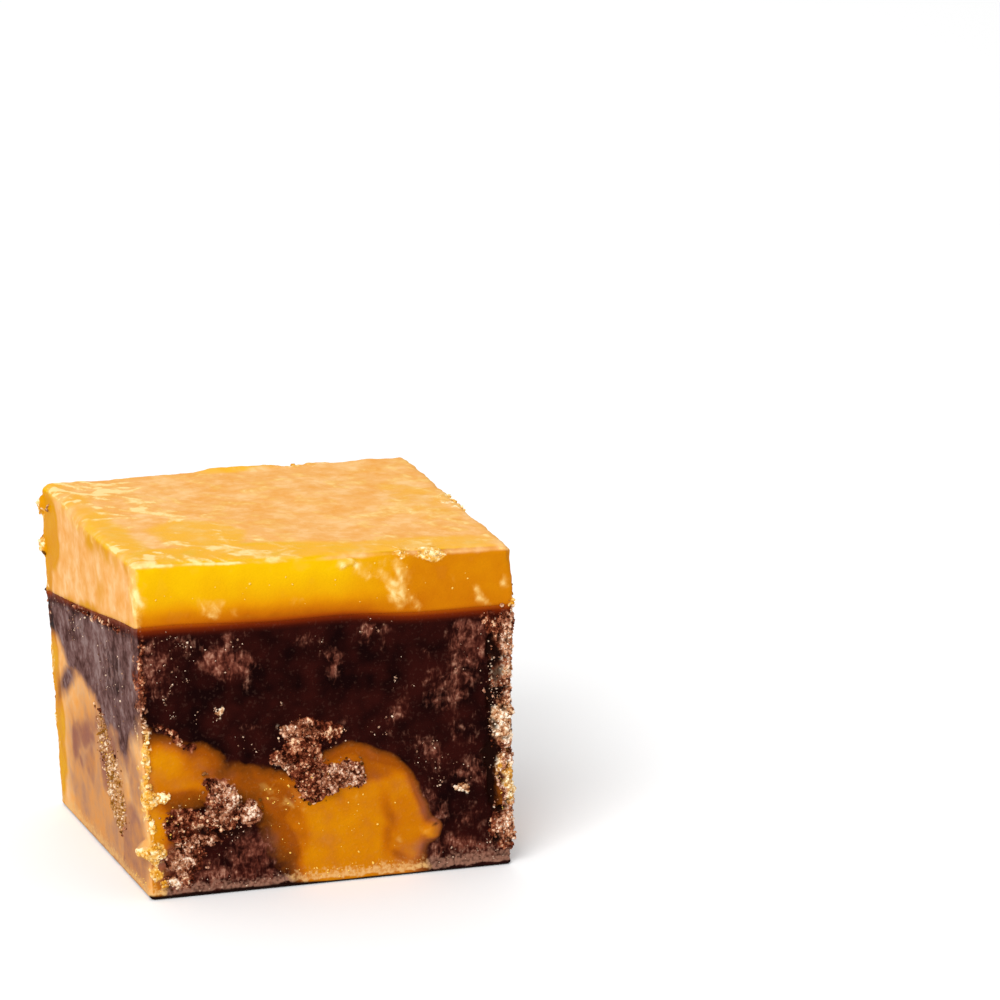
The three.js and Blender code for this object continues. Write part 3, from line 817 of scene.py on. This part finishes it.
def linear(code):
    """An sRGB hex colour as linear red, green and blue, and 1 for solid."""
    parts = [int(code[k : k + 2], 16) / 255.0 for k in (1, 3, 5)]
    return [v / 12.92 if v <= 0.04045 else ((v + 0.055) / 1.055) ** 2.4 for v in parts] + [1.0]


def per_mm(size):
    """A texture scale whose features come out about size mm across."""
    return 1.0 / (size * MM)


def give_inputs(tree, node, inputs):
    """Sets a node's inputs to values, or links them to other nodes' outputs."""
    for key, value in inputs.items():
        if isinstance(value, bpy.types.NodeSocket):
            tree.links.new(value, node.inputs[key])
        else:
            node.inputs[key].default_value = value


def add(tree, kind, inputs, stops=(), out=0, **settings):
    """Adds a shader node with its settings, links and ramp stops; returns one of its outputs."""
    node = tree.nodes.new("ShaderNode" + kind)
    for name, value in settings.items():
        setattr(node, name, value)
    give_inputs(tree, node, inputs)
    for number, (position, code) in enumerate(stops):
        if number >= len(node.color_ramp.elements):
            node.color_ramp.elements.new(1.0)
        node.color_ramp.elements[number].position = position
        node.color_ramp.elements[number].color = linear(code)
    return node.outputs[out]


# Settings that several nodes share: a weighed sum, a soft threshold, and one colour over another.
WEIGHED = {"operation": "MULTIPLY_ADD"}
SOFT = {"interpolation_type": "SMOOTHSTEP"}
LAID = {"data_type": "RGBA", "out": 2}

# The point values that a colour can follow.
LEVELS = "cocoa amber seam bloom brown pale smear dry frost hollow tone".split()


def new_material(name):
    """Starts a fudge: sugar in butter and syrup, which hardly reflects, so darks stay deep."""
    material = bpy.data.materials.new(name)
    material.use_nodes = True
    tree = material.node_tree
    shader = tree.nodes["Principled BSDF"]
    give_inputs(tree, shader, {"IOR": 1.45, "Specular IOR Level": 0.025})
    return material, tree, shader


def readings(tree):
    """All that a colour can follow: the point values, and noises spread out from 0 to 1."""
    at = add(tree, "TexCoord", {}, out="Object")
    upright = add(tree, "VectorMath", {0: at, 1: (1.0, 1.0, 0.4)}, operation="MULTIPLY")
    noises = {
        "slow": {"Vector": at, "Scale": per_mm(2.2), "Detail": 2.0},
        "blotch": {"Vector": at, "Scale": per_mm(0.8), "Detail": 3.0, "Distortion": 0.5},
        "fine": {"Vector": at, "Scale": per_mm(0.26), "Detail": 2.0},
        "fibre": {"Vector": upright, "Scale": per_mm(0.34), "Detail": 2.0, "Distortion": 0.9},
    }
    found = {
        title: add(tree, "Attribute", {}, out="Fac", attribute_name=title)
        for title in LEVELS
    }
    for title, inputs in noises.items():
        raw = add(tree, "TexNoise", inputs)
        found[title] = add(tree, "MapRange", {0: raw, 1: 0.35, 2: 0.65})
    return found


def seam_colour(tree, at):
    """Chocolate to amber up through the seam, where the layers ran into each other while warm."""
    height = add(tree, "MapRange", {0: at["seam"], 1: -1.2, 2: 1.2})
    stops = [
        (0.18, "#1f0503"), (0.33, "#3a0c03"), (0.48, "#641e03"),
        (0.62, "#964102"), (0.77, "#ae5c02"), (0.92, "#c07302"),
    ]
    return add(tree, "ValToRGB", {"Fac": height}, stops)


def orange_colour(tree, at):
    """Lemon to amber in the fresh cut, peach and mottled where dry and under a painted sheen, and
    pale where smeared.
    """
    tone = add(tree, "Math", {0: at["slow"], 1: 0.08, 2: at["amber"]}, **WEIGHED)
    stops = [
        (0.0, "#e8ab34"), (0.06, "#e5a922"), (0.1, "#dcab02"), (0.32, "#d39603"),
        (0.48, "#cd8602"), (0.62, "#bf7302"), (0.75, "#b26102"), (0.9, "#8e4503"),
    ]
    fresh = add(tree, "ValToRGB", {"Fac": tone}, stops)
    mottle = add(tree, "Math", {0: at["slow"], 1: 0.6, 2: 0.0}, **WEIGHED)
    mottle = add(tree, "Math", {0: at["blotch"], 1: 0.4, 2: mottle}, **WEIGHED)
    # Peach: dry skin with a painted sheen of the white room over it.
    stops = [(0.0, "#e19c52"), (0.5, "#e6ac6b"), (1.0, "#efc28c")]
    peach = add(tree, "ValToRGB", {"Fac": mottle}, stops)
    drying_and_sheen = add(tree, "Math", {0: at["slow"], 1: 0.3, 2: at["dry"]}, **WEIGHED)
    drying_and_sheen = add(tree, "MapRange", {0: drying_and_sheen, 1: 0.25, 2: 1.1, 4: 0.86}, **SOFT)
    skin = add(tree, "Mix", {0: drying_and_sheen, 6: fresh, 7: peach}, **LAID)
    smear = add(tree, "Math", {0: at["blotch"], 1: 0.3, 2: at["smear"]}, **WEIGHED)
    stops = [(0.4, "#e0a23a"), (0.7, "#e7b961"), (1.0, "#f1d592")]
    pale = add(tree, "ValToRGB", {"Fac": smear}, stops)
    smear = add(tree, "MapRange", {0: smear, 1: 0.3, 2: 1.1, 4: 0.88}, **SOFT)
    return add(tree, "Mix", {0: smear, 6: skin, 7: pale}, **LAID)


def bloom_cover(tree, at):
    """Where dried sugar lies on the cut: it breaks up into upright fibres at its edges."""
    veil = add(tree, "Math", {0: at["blotch"], 1: 0.4, 2: at["bloom"]}, **WEIGHED)
    veil = add(tree, "Math", {0: at["fibre"], 1: 0.3, 2: veil}, **WEIGHED)
    return add(tree, "MapRange", {0: veil, 1: 0.6, 2: 1.45}, **SOFT)


def chocolate_colour(tree, at):
    """Near black where cut, brown and fibrous where it bloomed, and greyish where dry and under a
    painted sheen.
    """
    stops = [(0.0, "#100101"), (1.0, "#290805")]
    cut = add(tree, "ValToRGB", {"Fac": at["slow"]}, stops)
    grain = add(tree, "Math", {0: at["fibre"], 1: 0.35, 2: 0.0}, **WEIGHED)
    grain = add(tree, "Math", {0: at["fine"], 1: 0.25, 2: grain}, **WEIGHED)
    grain = add(tree, "Math", {0: at["blotch"], 1: 0.4, 2: grain}, **WEIGHED)
    stops = [(0.1, "#2e0e08"), (0.45, "#55271c"), (0.7, "#744132"), (0.95, "#a3745f")]
    sugared = add(tree, "ValToRGB", {"Fac": grain}, stops)
    fresh = add(tree, "Mix", {0: bloom_cover(tree, at), 6: cut, 7: sugared}, **LAID)
    # Grey: dry chocolate with a painted sheen of the white room over it.
    grey = add(tree, "Math", {0: at["slow"], 1: 0.5, 2: 0.0}, **WEIGHED)
    grey = add(tree, "Math", {0: at["blotch"], 1: 0.35, 2: grey}, **WEIGHED)
    grey = add(tree, "Math", {0: at["fine"], 1: 0.15, 2: grey}, **WEIGHED)
    stops = [(0.15, "#442a26"), (0.5, "#684a46"), (0.85, "#88706c")]
    dull = add(tree, "ValToRGB", {"Fac": grey}, stops)
    drying_and_sheen = add(tree, "Math", {0: at["blotch"], 1: 0.3, 2: at["dry"]}, **WEIGHED)
    drying_and_sheen = add(tree, "MapRange", {0: drying_and_sheen, 1: 0.3, 2: 1.1}, **SOFT)
    return add(tree, "Mix", {0: drying_and_sheen, 6: fresh, 7: dull}, **LAID)


def crumb_grain(tree, at):
    """How light each grain of a broken surface is, from 0 to 1."""
    grain = add(tree, "Math", {0: at["tone"], 1: 0.5, 2: -0.08}, **WEIGHED)
    grain = add(tree, "Math", {0: at["fine"], 1: 0.28, 2: grain}, **WEIGHED)
    return add(tree, "Math", {0: at["blotch"], 1: 0.4, 2: grain}, **WEIGHED)


def cream_crumb_colour(tree, at):
    """Broken orange fudge with sugar in it: golden in the cracks and cream on top."""
    stops = [(0.05, "#b8740f"), (0.3, "#d8992f"), (0.55, "#e6b763"), (0.85, "#fbecc0")]
    return add(tree, "ValToRGB", {"Fac": crumb_grain(tree, at)}, stops)


def crumb_colour(tree, at):
    """Broken fudge, grain by grain: brown, tan and then white, the lightest grains partly sugar
    and partly painted highlights, or golden on orange.
    """
    grain = crumb_grain(tree, at)
    # The light ends of these ramps are partly sugar, partly painted highlights on the grains.
    stops = [
        (0.18, "#1e0602"), (0.38, "#481a0c"), (0.56, "#703420"),
        (0.74, "#a96646"), (0.92, "#eec69f"),
    ]
    brown = add(tree, "ValToRGB", {"Fac": grain}, stops)
    stops = [(0.14, "#3c1509"), (0.36, "#8f4c30"), (0.6, "#cf9570"), (0.86, "#fce8d2")]
    tan = add(tree, "ValToRGB", {"Fac": grain}, stops)
    stops = [(0.1, "#4f2412"), (0.3, "#ab7048"), (0.52, "#d9b088"), (0.8, "#fdeed8")]
    white = add(tree, "ValToRGB", {"Fac": grain}, stops)
    golden = add(tree, "MapRange", {0: at["cocoa"], 1: 0.1, 2: -0.1})
    layers = {0: golden, 6: white, 7: cream_crumb_colour(tree, at)}
    cream = add(tree, "Mix", layers, **LAID)
    some = add(tree, "MapRange", {0: at["pale"], 1: 0.0, 2: 0.5})
    more = add(tree, "Math", {0: at["brown"], 1: -0.6, 2: at["pale"]}, **WEIGHED)
    more = add(tree, "MapRange", {0: more, 1: -0.05, 2: 0.3})
    colour = add(tree, "Mix", {0: some, 6: brown, 7: tan}, **LAID)
    return add(tree, "Mix", {0: more, 6: colour, 7: cream}, **LAID)


def broken_cover(tree, at):
    """Where the surface broke into crumbs."""
    broken = add(tree, "Math", {0: at["brown"], 1: at["pale"]}, operation="MAXIMUM")
    broken = add(tree, "Math", {0: at["fine"], 1: 0.3, 2: broken}, **WEIGHED)
    return add(tree, "MapRange", {0: broken, 1: 0.35, 2: 0.7}, **SOFT)


def finish_surface(tree, shader, colour, roughness, height, depth):
    """Gives the shader its colour, its roughness and a grain so many mm deep."""
    grain = {"Height": height, "Strength": 0.5, "Distance": depth * MM}
    grain = add(tree, "Bump", grain)
    inputs = {"Base Color": colour, "Roughness": roughness, "Normal": grain}
    give_inputs(tree, shader, inputs)


def clean_orange_fudge():
    """Orange fudge, cut with a knife: dense and waxy, satin and deep yellow on the fresh cut.

    Its skin is dry, with a painted sheen, so the top and the left side look dull and peachy, with
    pale drags.
    """
    material, tree, shader = new_material("clean orange fudge")
    at = readings(tree)
    cream = cream_crumb_colour(tree, at)
    blend = add(tree, "MapRange", {0: at["seam"], 1: 0.7, 2: 0.1}, **SOFT)
    blend = add(tree, "Math", {0: at["dry"], 1: -1.0, 2: blend}, **WEIGHED)
    layers = {0: blend, 6: orange_colour(tree, at), 7: seam_colour(tree, at)}
    cut = add(tree, "Mix", layers, **LAID)
    colour = add(tree, "Mix", {0: broken_cover(tree, at), 6: cut, 7: cream}, **LAID)
    dull = add(tree, "Math", {0: at["dry"], 1: 0.42, 2: 0.48}, **WEIGHED)
    finish_surface(tree, shader, colour, dull, at["fine"], 0.02)
    return material


def marbled_chocolate_fudge():
    """Chocolate fudge marbled with orange: satin and near black or amber on the cut.

    Sugar bloom turns it brown and fibrous, broken places are dull and grainy, and a powder of
    sugar lies along its foot.
    """
    material, tree, shader = new_material("marbled chocolate fudge")
    at = readings(tree)
    orange = orange_colour(tree, at)
    haze = add(tree, "Math", {0: at["slow"], 1: 0.3, 2: at["bloom"]}, **WEIGHED)
    haze = add(tree, "Math", {0: at["blotch"], 1: 0.12, 2: haze}, **WEIGHED)
    haze = add(tree, "MapRange", {0: haze, 1: 0.15, 2: 1.25, 4: 0.92}, **SOFT)
    orange = add(tree, "Mix", {0: haze, 6: orange, 7: linear("#845148")}, **LAID)
    edge = add(tree, "Math", {0: at["blotch"], 1: 0.2, 2: at["cocoa"]}, **WEIGHED)
    brewed = add(tree, "MapRange", {0: edge, 1: -0.6, 2: 0.15, 4: 0.8}, **SOFT)
    # Where dry, the brewed border is paler and greyer: dry skin with a painted sheen.
    syrup = {0: at["dry"], 6: linear("#5f2f06"), 7: linear("#8c6250")}
    syrup = add(tree, "Mix", syrup, **LAID)
    orange = add(tree, "Mix", {0: brewed, 6: orange, 7: syrup}, **LAID)
    dark = add(tree, "MapRange", {0: edge, 1: -0.05, 2: 0.4}, **SOFT)
    layers = {0: dark, 6: orange, 7: chocolate_colour(tree, at)}
    cut = add(tree, "Mix", layers, **LAID)
    blend = add(tree, "MapRange", {0: at["seam"], 1: -0.95, 2: -0.3}, **SOFT)
    blend = add(tree, "Math", {0: at["dry"], 1: -1.0, 2: blend}, **WEIGHED)
    cut = add(tree, "Mix", {0: blend, 6: cut, 7: seam_colour(tree, at)}, **LAID)
    layers = {0: broken_cover(tree, at), 6: cut, 7: crumb_colour(tree, at)}
    crumbs = add(tree, "Mix", layers, **LAID)
    layers = {0: dark, 6: linear("#d9ab6c"), 7: linear("#916755")}
    powder = add(tree, "Mix", layers, **LAID)
    dusted = add(tree, "Math", {0: at["frost"], 1: 0.8, 2: 0.0}, **WEIGHED)
    dusted = add(tree, "Math", {0: at["fine"], 1: 0.5, 2: dusted}, **WEIGHED)
    dusted = add(tree, "MapRange", {0: dusted, 1: 0.4, 2: 1.2, 4: 0.9}, **SOFT)
    colour = add(tree, "Mix", {0: dusted, 6: crumbs, 7: powder}, **LAID)
    # Painted shade: the pits and the foot go near black.
    layers = {0: at["hollow"], 6: colour, 7: linear("#180603")}
    colour = add(tree, "Mix", layers, **LAID)
    dull = add(tree, "Math", {0: at["dry"], 1: 0.4, 2: 0.5}, **WEIGHED)
    finish_surface(tree, shader, colour, dull, at["fine"], 0.03)
    return material


def loose_crumbs(name):
    """Loose crumbs look dull and dry. Each has its own tone, with finer mottling on it."""
    material, tree, shader = new_material(name)
    at = readings(tree)
    finish_surface(tree, shader, crumb_colour(tree, at), 0.6, at["fine"], 0.02)
    return material


def sugar_grains():
    """Loose grains of sugar: tan to cream points, and yellow where orange shines through."""
    material, tree, shader = new_material("sugar grains")
    at = readings(tree)
    stops = [(0.0, "#5e3e30"), (0.55, "#97705a"), (1.0, "#ead0b6")]
    glint = add(tree, "ValToRGB", {"Fac": at["tone"]}, stops)
    on_orange = add(tree, "MapRange", {0: at["cocoa"], 1: 0.1, 2: -0.1})
    layers = {0: on_orange, 6: glint, 7: linear("#eec25c")}
    colour = add(tree, "Mix", layers, **LAID)
    finish_surface(tree, shader, colour, 0.35, at["fine"], 0.01)
    return material


# ------------------------------------------------------------------ closed skins


def steps(low, high, gap):
    """Even steps of about gap from low up to, but not including, high."""
    count = max(1, round((high - low) / gap))
    return [low + (high - low) * k / count for k in range(count)]


UV_NAME = "OFBake"

# Where each face lies in the flat map: left, bottom, width and height.
ISLANDS = {
    "front": (0.005, 0.505, 0.49, 0.49),
    "left": (0.505, 0.505, 0.49, 0.49),
    "right": (0.005, 0.255, 0.49, 0.24),
    "back": (0.505, 0.255, 0.49, 0.24),
    "top": (0.005, 0.005, 0.49, 0.24),
    "under": (0.505, 0.005, 0.49, 0.24),
}


class Skin:
    """A closed skin of block points, gathered panel by panel and welded along their rims."""

    def __init__(self):
        self.points = []
        self.faces = []
        self.rounded = []
        self.flat = []
        self.count = 0

    def add(self, points, faces, rounded, island, flat):
        left, bottom, width, height = ISLANDS[island]
        self.points.append(points)
        self.faces.extend((np.asarray(faces) + self.count).tolist())
        self.rounded.extend([rounded] * len(faces))
        self.flat.append(flat * (width, height) + (left, bottom))
        self.count += len(points)

    def add_grid(self, rows, island):
        """A panel from rows of points, each as long as the next."""
        grid = np.stack(rows)
        high, wide = grid.shape[:2]
        number = np.arange(high * wide).reshape(high, wide)
        quads = np.stack([number[:-1, :-1], number[:-1, 1:], number[1:, 1:], number[1:, :-1]], -1)
        across, up = np.meshgrid(np.linspace(0, 1, wide), np.linspace(0, 1, high))
        flat = np.stack([across.ravel(), up.ravel()], -1)
        self.add(grid.reshape(-1, 3), quads.reshape(-1, 4), True, island, flat)

    def add_sides(self, lines, shares, level):
        """The four upright sides: level gives the height at a share of the way up."""
        for face, line in lines.items():
            foot = np.array([FACES[face][0](s, 0.0) for s in line])
            rows = []
            for share in shares:
                row = foot.copy()
                row[:, 2] = level(row[:, 0], row[:, 1], share)
                rows.append(row)
            self.add_grid(rows, face)

    def add_lid(self, rings, up, island):
        """Rings drawn in from the rim, closed by a fan round their middle."""
        count = len(rings[0])
        points = np.concatenate([*rings, rings[-1].mean(axis=0, keepdims=True)])
        here = np.arange(count)
        after = (here + 1) % count
        faces = []
        for k in range(len(rings) - 1):
            outer, inner = k * count, (k + 1) * count
            faces.append(np.stack([outer + after, outer + here, inner + here, inner + after], -1))
        last = (len(rings) - 1) * count
        middle = np.full(count, len(points) - 1)
        faces.append(np.stack([middle, last + after, last + here, last + here], -1))
        faces = np.concatenate(faces)
        if up:
            faces = faces[:, ::-1]
        self.add(points, faces, False, island, points[:, :2] / (LENGTH, DEPTH))

    def mesh(self, name):
        """Welds the panels and makes the mesh, still in block coordinates."""
        points = np.concatenate(self.points)
        flat = np.concatenate(self.flat)
        key = np.round(points * 2000.0).astype(np.int64)
        _, first, number = np.unique(key, axis=0, return_index=True, return_inverse=True)
        number = number.ravel()
        faces = []
        corners = []
        for face in self.faces:
            ring = list(dict.fromkeys(face))
            faces.append(number[ring].tolist())
            corners.extend(ring)
        mesh = bpy.data.meshes.new(name)
        mesh.from_pydata(points[first].tolist(), [], faces)
        mesh.polygons.foreach_set("use_smooth", self.rounded)
        layer = mesh.uv_layers.new(name=UV_NAME)
        layer.uv.foreach_set("vector", flat[corners].ravel().astype(np.float32))
        return mesh, points[first]


def rim_of(lines, level):
    """The way round the block, against the clock from above, at the height level gives."""
    ring = np.array([FACES[face][0](s, 0.0) for face in lines for s in lines[face][:-1]])
    ring[:, 2] = level(ring[:, 0], ring[:, 1])
    return ring


def drawn_in(ring, inset):
    """A ring of the block's outline, moved in from every side by inset mm."""
    middle = np.array([LENGTH / 2, DEPTH / 2])
    inner = ring.copy()
    inner[:, :2] = middle + (ring[:, :2] - middle) * (1 - 2 * inset / np.array([LENGTH, DEPTH]))
    return inner


def give_values(mesh, levels):
    """Keeps a value for each point, which the materials read by its name."""
    for title, values in levels.items():
        layer = mesh.attributes.new(title, "FLOAT", "POINT")
        layer.data.foreach_set("value", values.astype(np.float32))


def finish_piece(mesh, name, material, nodes):
    """Links a piece, gives it its material and says what it is to the frame."""
    mesh.materials.append(material)
    mesh.update()
    piece = bpy.data.objects.new(name, mesh)
    bpy.context.scene.collection.objects.link(piece)
    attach(piece, "root")
    if nodes:
        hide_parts(*nodes)


def finish_skin(skin, name, material, node):
    """Moves a skin from block coordinates on to the real cube."""
    mesh, p = skin.mesh(name)
    proud, tone = relief(p)
    mesh.vertices.foreach_set("co", (place(p, proud) * MM).ravel().astype(np.float32))
    give_values(mesh, point_levels(p) | {"tone": tone})
    finish_piece(mesh, name, material, [node])


def build_marbled_layer():
    # Points lie closest where it is broken: on the left of the front, at the corners and low down.
    front = steps(0, 18, 0.1) + steps(18, 28, 0.25) + steps(28, LENGTH, 0.08) + [LENGTH]
    right = steps(0, 2, 0.15) + steps(2, 26.4, 0.3) + steps(26.4, DEPTH, 0.1) + [DEPTH]
    back = steps(0, 0.6, 0.1) + steps(0.6, 29.4, 0.36) + steps(29.4, LENGTH, 0.1) + [LENGTH]
    left = steps(0, 0.6, 0.1) + steps(0.6, 24, 0.3) + steps(24, DEPTH, 0.12) + [DEPTH]
    lines = {"front": front, "right": right, "back": back, "left": left}
    heights = steps(0, 0.6, 0.075) + steps(0.6, 14, 0.112) + steps(14, SEAM_FRONT, 0.22)
    shares = [height / SEAM_FRONT for height in heights] + [1.0]
    skin = Skin()
    skin.add_sides(lines, shares, lambda a, b, t: t * seam_height(a, b))
    foot = rim_of(lines, lambda a, b: 0.0 * a)
    skin.add_lid([foot, drawn_in(foot, 0.13), drawn_in(foot, 0.4)], False, "under")
    skin.add_lid([rim_of(lines, seam_height)], True, "top")
    finish_skin(
        skin,
        "marbled_chocolate_fudge",
        marbled_chocolate_fudge(),
        "swirled_layer",
    )


def build_orange_layer():
    along = steps(0, 1, 0.1) + steps(1, 29, 0.2) + steps(29, LENGTH, 0.1) + [LENGTH]
    deep = steps(0, 1, 0.1) + steps(1, 26, 0.2) + steps(26, DEPTH, 0.1) + [DEPTH]
    lines = {"front": along, "right": deep, "back": along, "left": deep}
    rise = HEIGHT - SEAM_FRONT
    heights = steps(0, rise - TOP_ROUND, 0.14) + steps(rise - TOP_ROUND, rise, 0.1)
    shares = [height / rise for height in heights] + [1.0]
    skin = Skin()
    skin.add_sides(lines, shares, lambda a, b, t: mix(seam_height(a, b), HEIGHT, t))
    skin.add_grid([np.array([(a, b, HEIGHT) for a in along]) for b in deep], "top")
    skin.add_lid([rim_of(lines, seam_height)], False, "under")
    finish_skin(skin, "clean_orange_fudge", clean_orange_fudge(), "orange_layer")


# ------------------------------------------------------------------ crumbs


def folded(p):
    """Wraps points that ran past an upright edge round it, and keeps them off the foot."""
    q = p.copy()
    for axis, size, other, far in ((0, LENGTH, 1, DEPTH), (1, DEPTH, 0, LENGTH)):
        past = np.maximum(q[:, axis] - size, 0.0) + np.maximum(-q[:, axis], 0.0)
        q[:, other] += past * np.where(q[:, other] < far / 2, 1.0, -1.0)
        q[:, axis] = np.clip(q[:, axis], 0.0, size)
    q[:, 2] = np.clip(q[:, 2], 0.4, HEIGHT)
    return q


def strewn(marks, per_mm2, random, spread=1.0):
    """Random block points on the marks' ovals, so many to the square millimetre."""
    spots = []
    for face, across, up, wide, high, tilt, strength in marks:
        spot, *directions = FACES[face]
        right, upward, _ = (np.array(v, float) for v in directions)
        count = max(1, round(math.pi * wide * high * per_mm2 * strength))
        angle = random.uniform(0.0, 2.0 * math.pi, count)
        away = np.sqrt(random.uniform(0.0, 1.0, count))
        s = spread * wide * away * np.cos(angle)
        t = spread * high * away * np.sin(angle)
        turn = math.radians(tilt)
        along = s * math.cos(turn) - t * math.sin(turn)
        above = s * math.sin(turn) + t * math.cos(turn)
        spots.append(np.array(spot(across, up)) + np.outer(along, right) + np.outer(above, upward))
    return folded(np.concatenate(spots))


def stuck(marks, per_mm2, random):
    """Random block points in the broken places, but not down in their pits."""
    spots = strewn(marks, per_mm2, random)
    return spots[(crumbly(marks, spots) > 0.2) & (pit_level(spots) < 0.3)]


def turns(count, random):
    """Random rotations, as matrices."""
    q = random.normal(size=(count, 4))
    w, x, y, z = (q / np.linalg.norm(q, axis=1, keepdims=True)).T
    return np.stack(
        [
            np.stack([1 - 2 * (y * y + z * z), 2 * (x * y - w * z), 2 * (x * z + w * y)], -1),
            np.stack([2 * (x * y + w * z), 1 - 2 * (x * x + z * z), 2 * (y * z - w * x)], -1),
            np.stack([2 * (x * z - w * y), 2 * (y * z + w * x), 1 - 2 * (x * x + y * y)], -1),
        ],
        axis=1,
    )


def ball(roundness):
    """A faceted ball of radius 1: its points and its triangles."""
    made = bmesh.new()
    bmesh.ops.create_icosphere(made, subdivisions=roundness, radius=1.0)
    points = np.array([vertex.co[:] for vertex in made.verts])
    faces = np.array([[vertex.index for vertex in face.verts] for face in made.faces])
    made.free()
    return points, faces


def build_crumbs(name, spots, radii, material, random):
    """Irregular lumps joined into one mesh, each partly sunk in the fudge where it lies."""
    points, faces = ball(1)
    count, each = len(spots), len(points)
    # Each is a ball that was stretched, given knobs and turned, all at random.
    shape = points[None] * random.uniform(0.6, 1.3, (count, 1, 3)) * (1.0, 1.0, 0.8)
    drift = points[None] * 1.4 + random.uniform(0.0, 60.0, (count, 1, 3))
    knobs = noise(drift.reshape(-1, 3), 1.0, 171).reshape(count, each, 1)
    shape = shape * (1.0 + 0.4 * knobs)
    shape = np.einsum("nij,nvj->nvi", turns(count, random), shape) * radii[:, None, None]
    proud, _ = relief(spots)
    real = place(spots, proud + 0.2 * radii)[:, None, :] + shape
    real[..., 2] = np.maximum(real[..., 2], 0.02)
    triangles = (faces[None] + (np.arange(count) * each)[:, None, None]).reshape(-1, 3)
    mesh = bpy.data.meshes.new(name)
    mesh.from_pydata((real.reshape(-1, 3) * MM).tolist(), [], triangles.tolist())
    mesh.polygons.foreach_set("use_smooth", [True] * len(triangles))
    values = {
        "tone": random.uniform(0.0, 1.0, count),
        "brown": crumbly(BROWN_CRUMBS, spots),
        "pale": crumbly(PALE_CRUMBS, spots),
        "cocoa": cocoa_level(spots),
    }
    give_values(mesh, {title: np.repeat(value, each) for title, value in values.items()})
    # Each has a cell of the flat map, its upper half on the left and its lower on the right.
    side = math.ceil(math.sqrt(count))
    cell = np.stack(np.divmod(np.arange(count), side), -1)
    over = points[faces].mean(axis=1)[:, 2] > 0.0
    local = points[faces][..., :2] * 0.47 + 0.5
    local[..., 0] = local[..., 0] * 0.5 + np.where(over, 0.0, 0.5)[:, None]
    flat_map = (cell[:, None, None, :] + local[None]) / side
    layer = mesh.uv_layers.new(name=UV_NAME)
    layer.uv.foreach_set("vector", flat_map.reshape(-1).astype(np.float32))
    finish_piece(mesh, name, material, [])


def crumb_sizes(count, smallest, largest, random):
    """Radii in mm: most crumbs are small and a few are large."""
    return mix(smallest, largest, random.uniform(0.0, 1.0, count) ** 2.5)


def build_all_crumbs():
    random = np.random.default_rng(20)
    spots = stuck(BROWN_CRUMBS, CHOCOLATE_PER_MM2, random)
    around = strewn(BROWN_CRUMBS, CHOCOLATE_AROUND, random, spread=1.35)
    stray = strewn(STRAY_CRUMBS, STRAY_PER_MM2, random)
    spots = np.concatenate([spots, around, stray])
    radii = crumb_sizes(len(spots), *CHOCOLATE_CRUMB, random)
    material = loose_crumbs("chocolate fudge crumbs")
    build_crumbs("chocolate_crumbs", spots, radii, material, random)
    spots = stuck(PALE_CRUMBS, PALE_PER_MM2, random)
    spots = np.concatenate([spots, strewn(PALE_CRUMBS, PALE_AROUND, random, spread=1.15)])
    radii = crumb_sizes(len(spots), *PALE_CRUMB, random)
    material = loose_crumbs("sugary orange fudge crumbs")
    build_crumbs("pale_crumbs", spots, radii, material, random)
    spots = strewn(SUGAR, SUGAR_PER_MM2, random)
    radii = crumb_sizes(len(spots), *SUGAR_GRAIN, random)
    build_crumbs("sugar_grains", spots, radii, sugar_grains(), random)


build_camera()
build_floor()
build_light()
build_marbled_layer()
build_orange_layer()
build_all_crumbs()
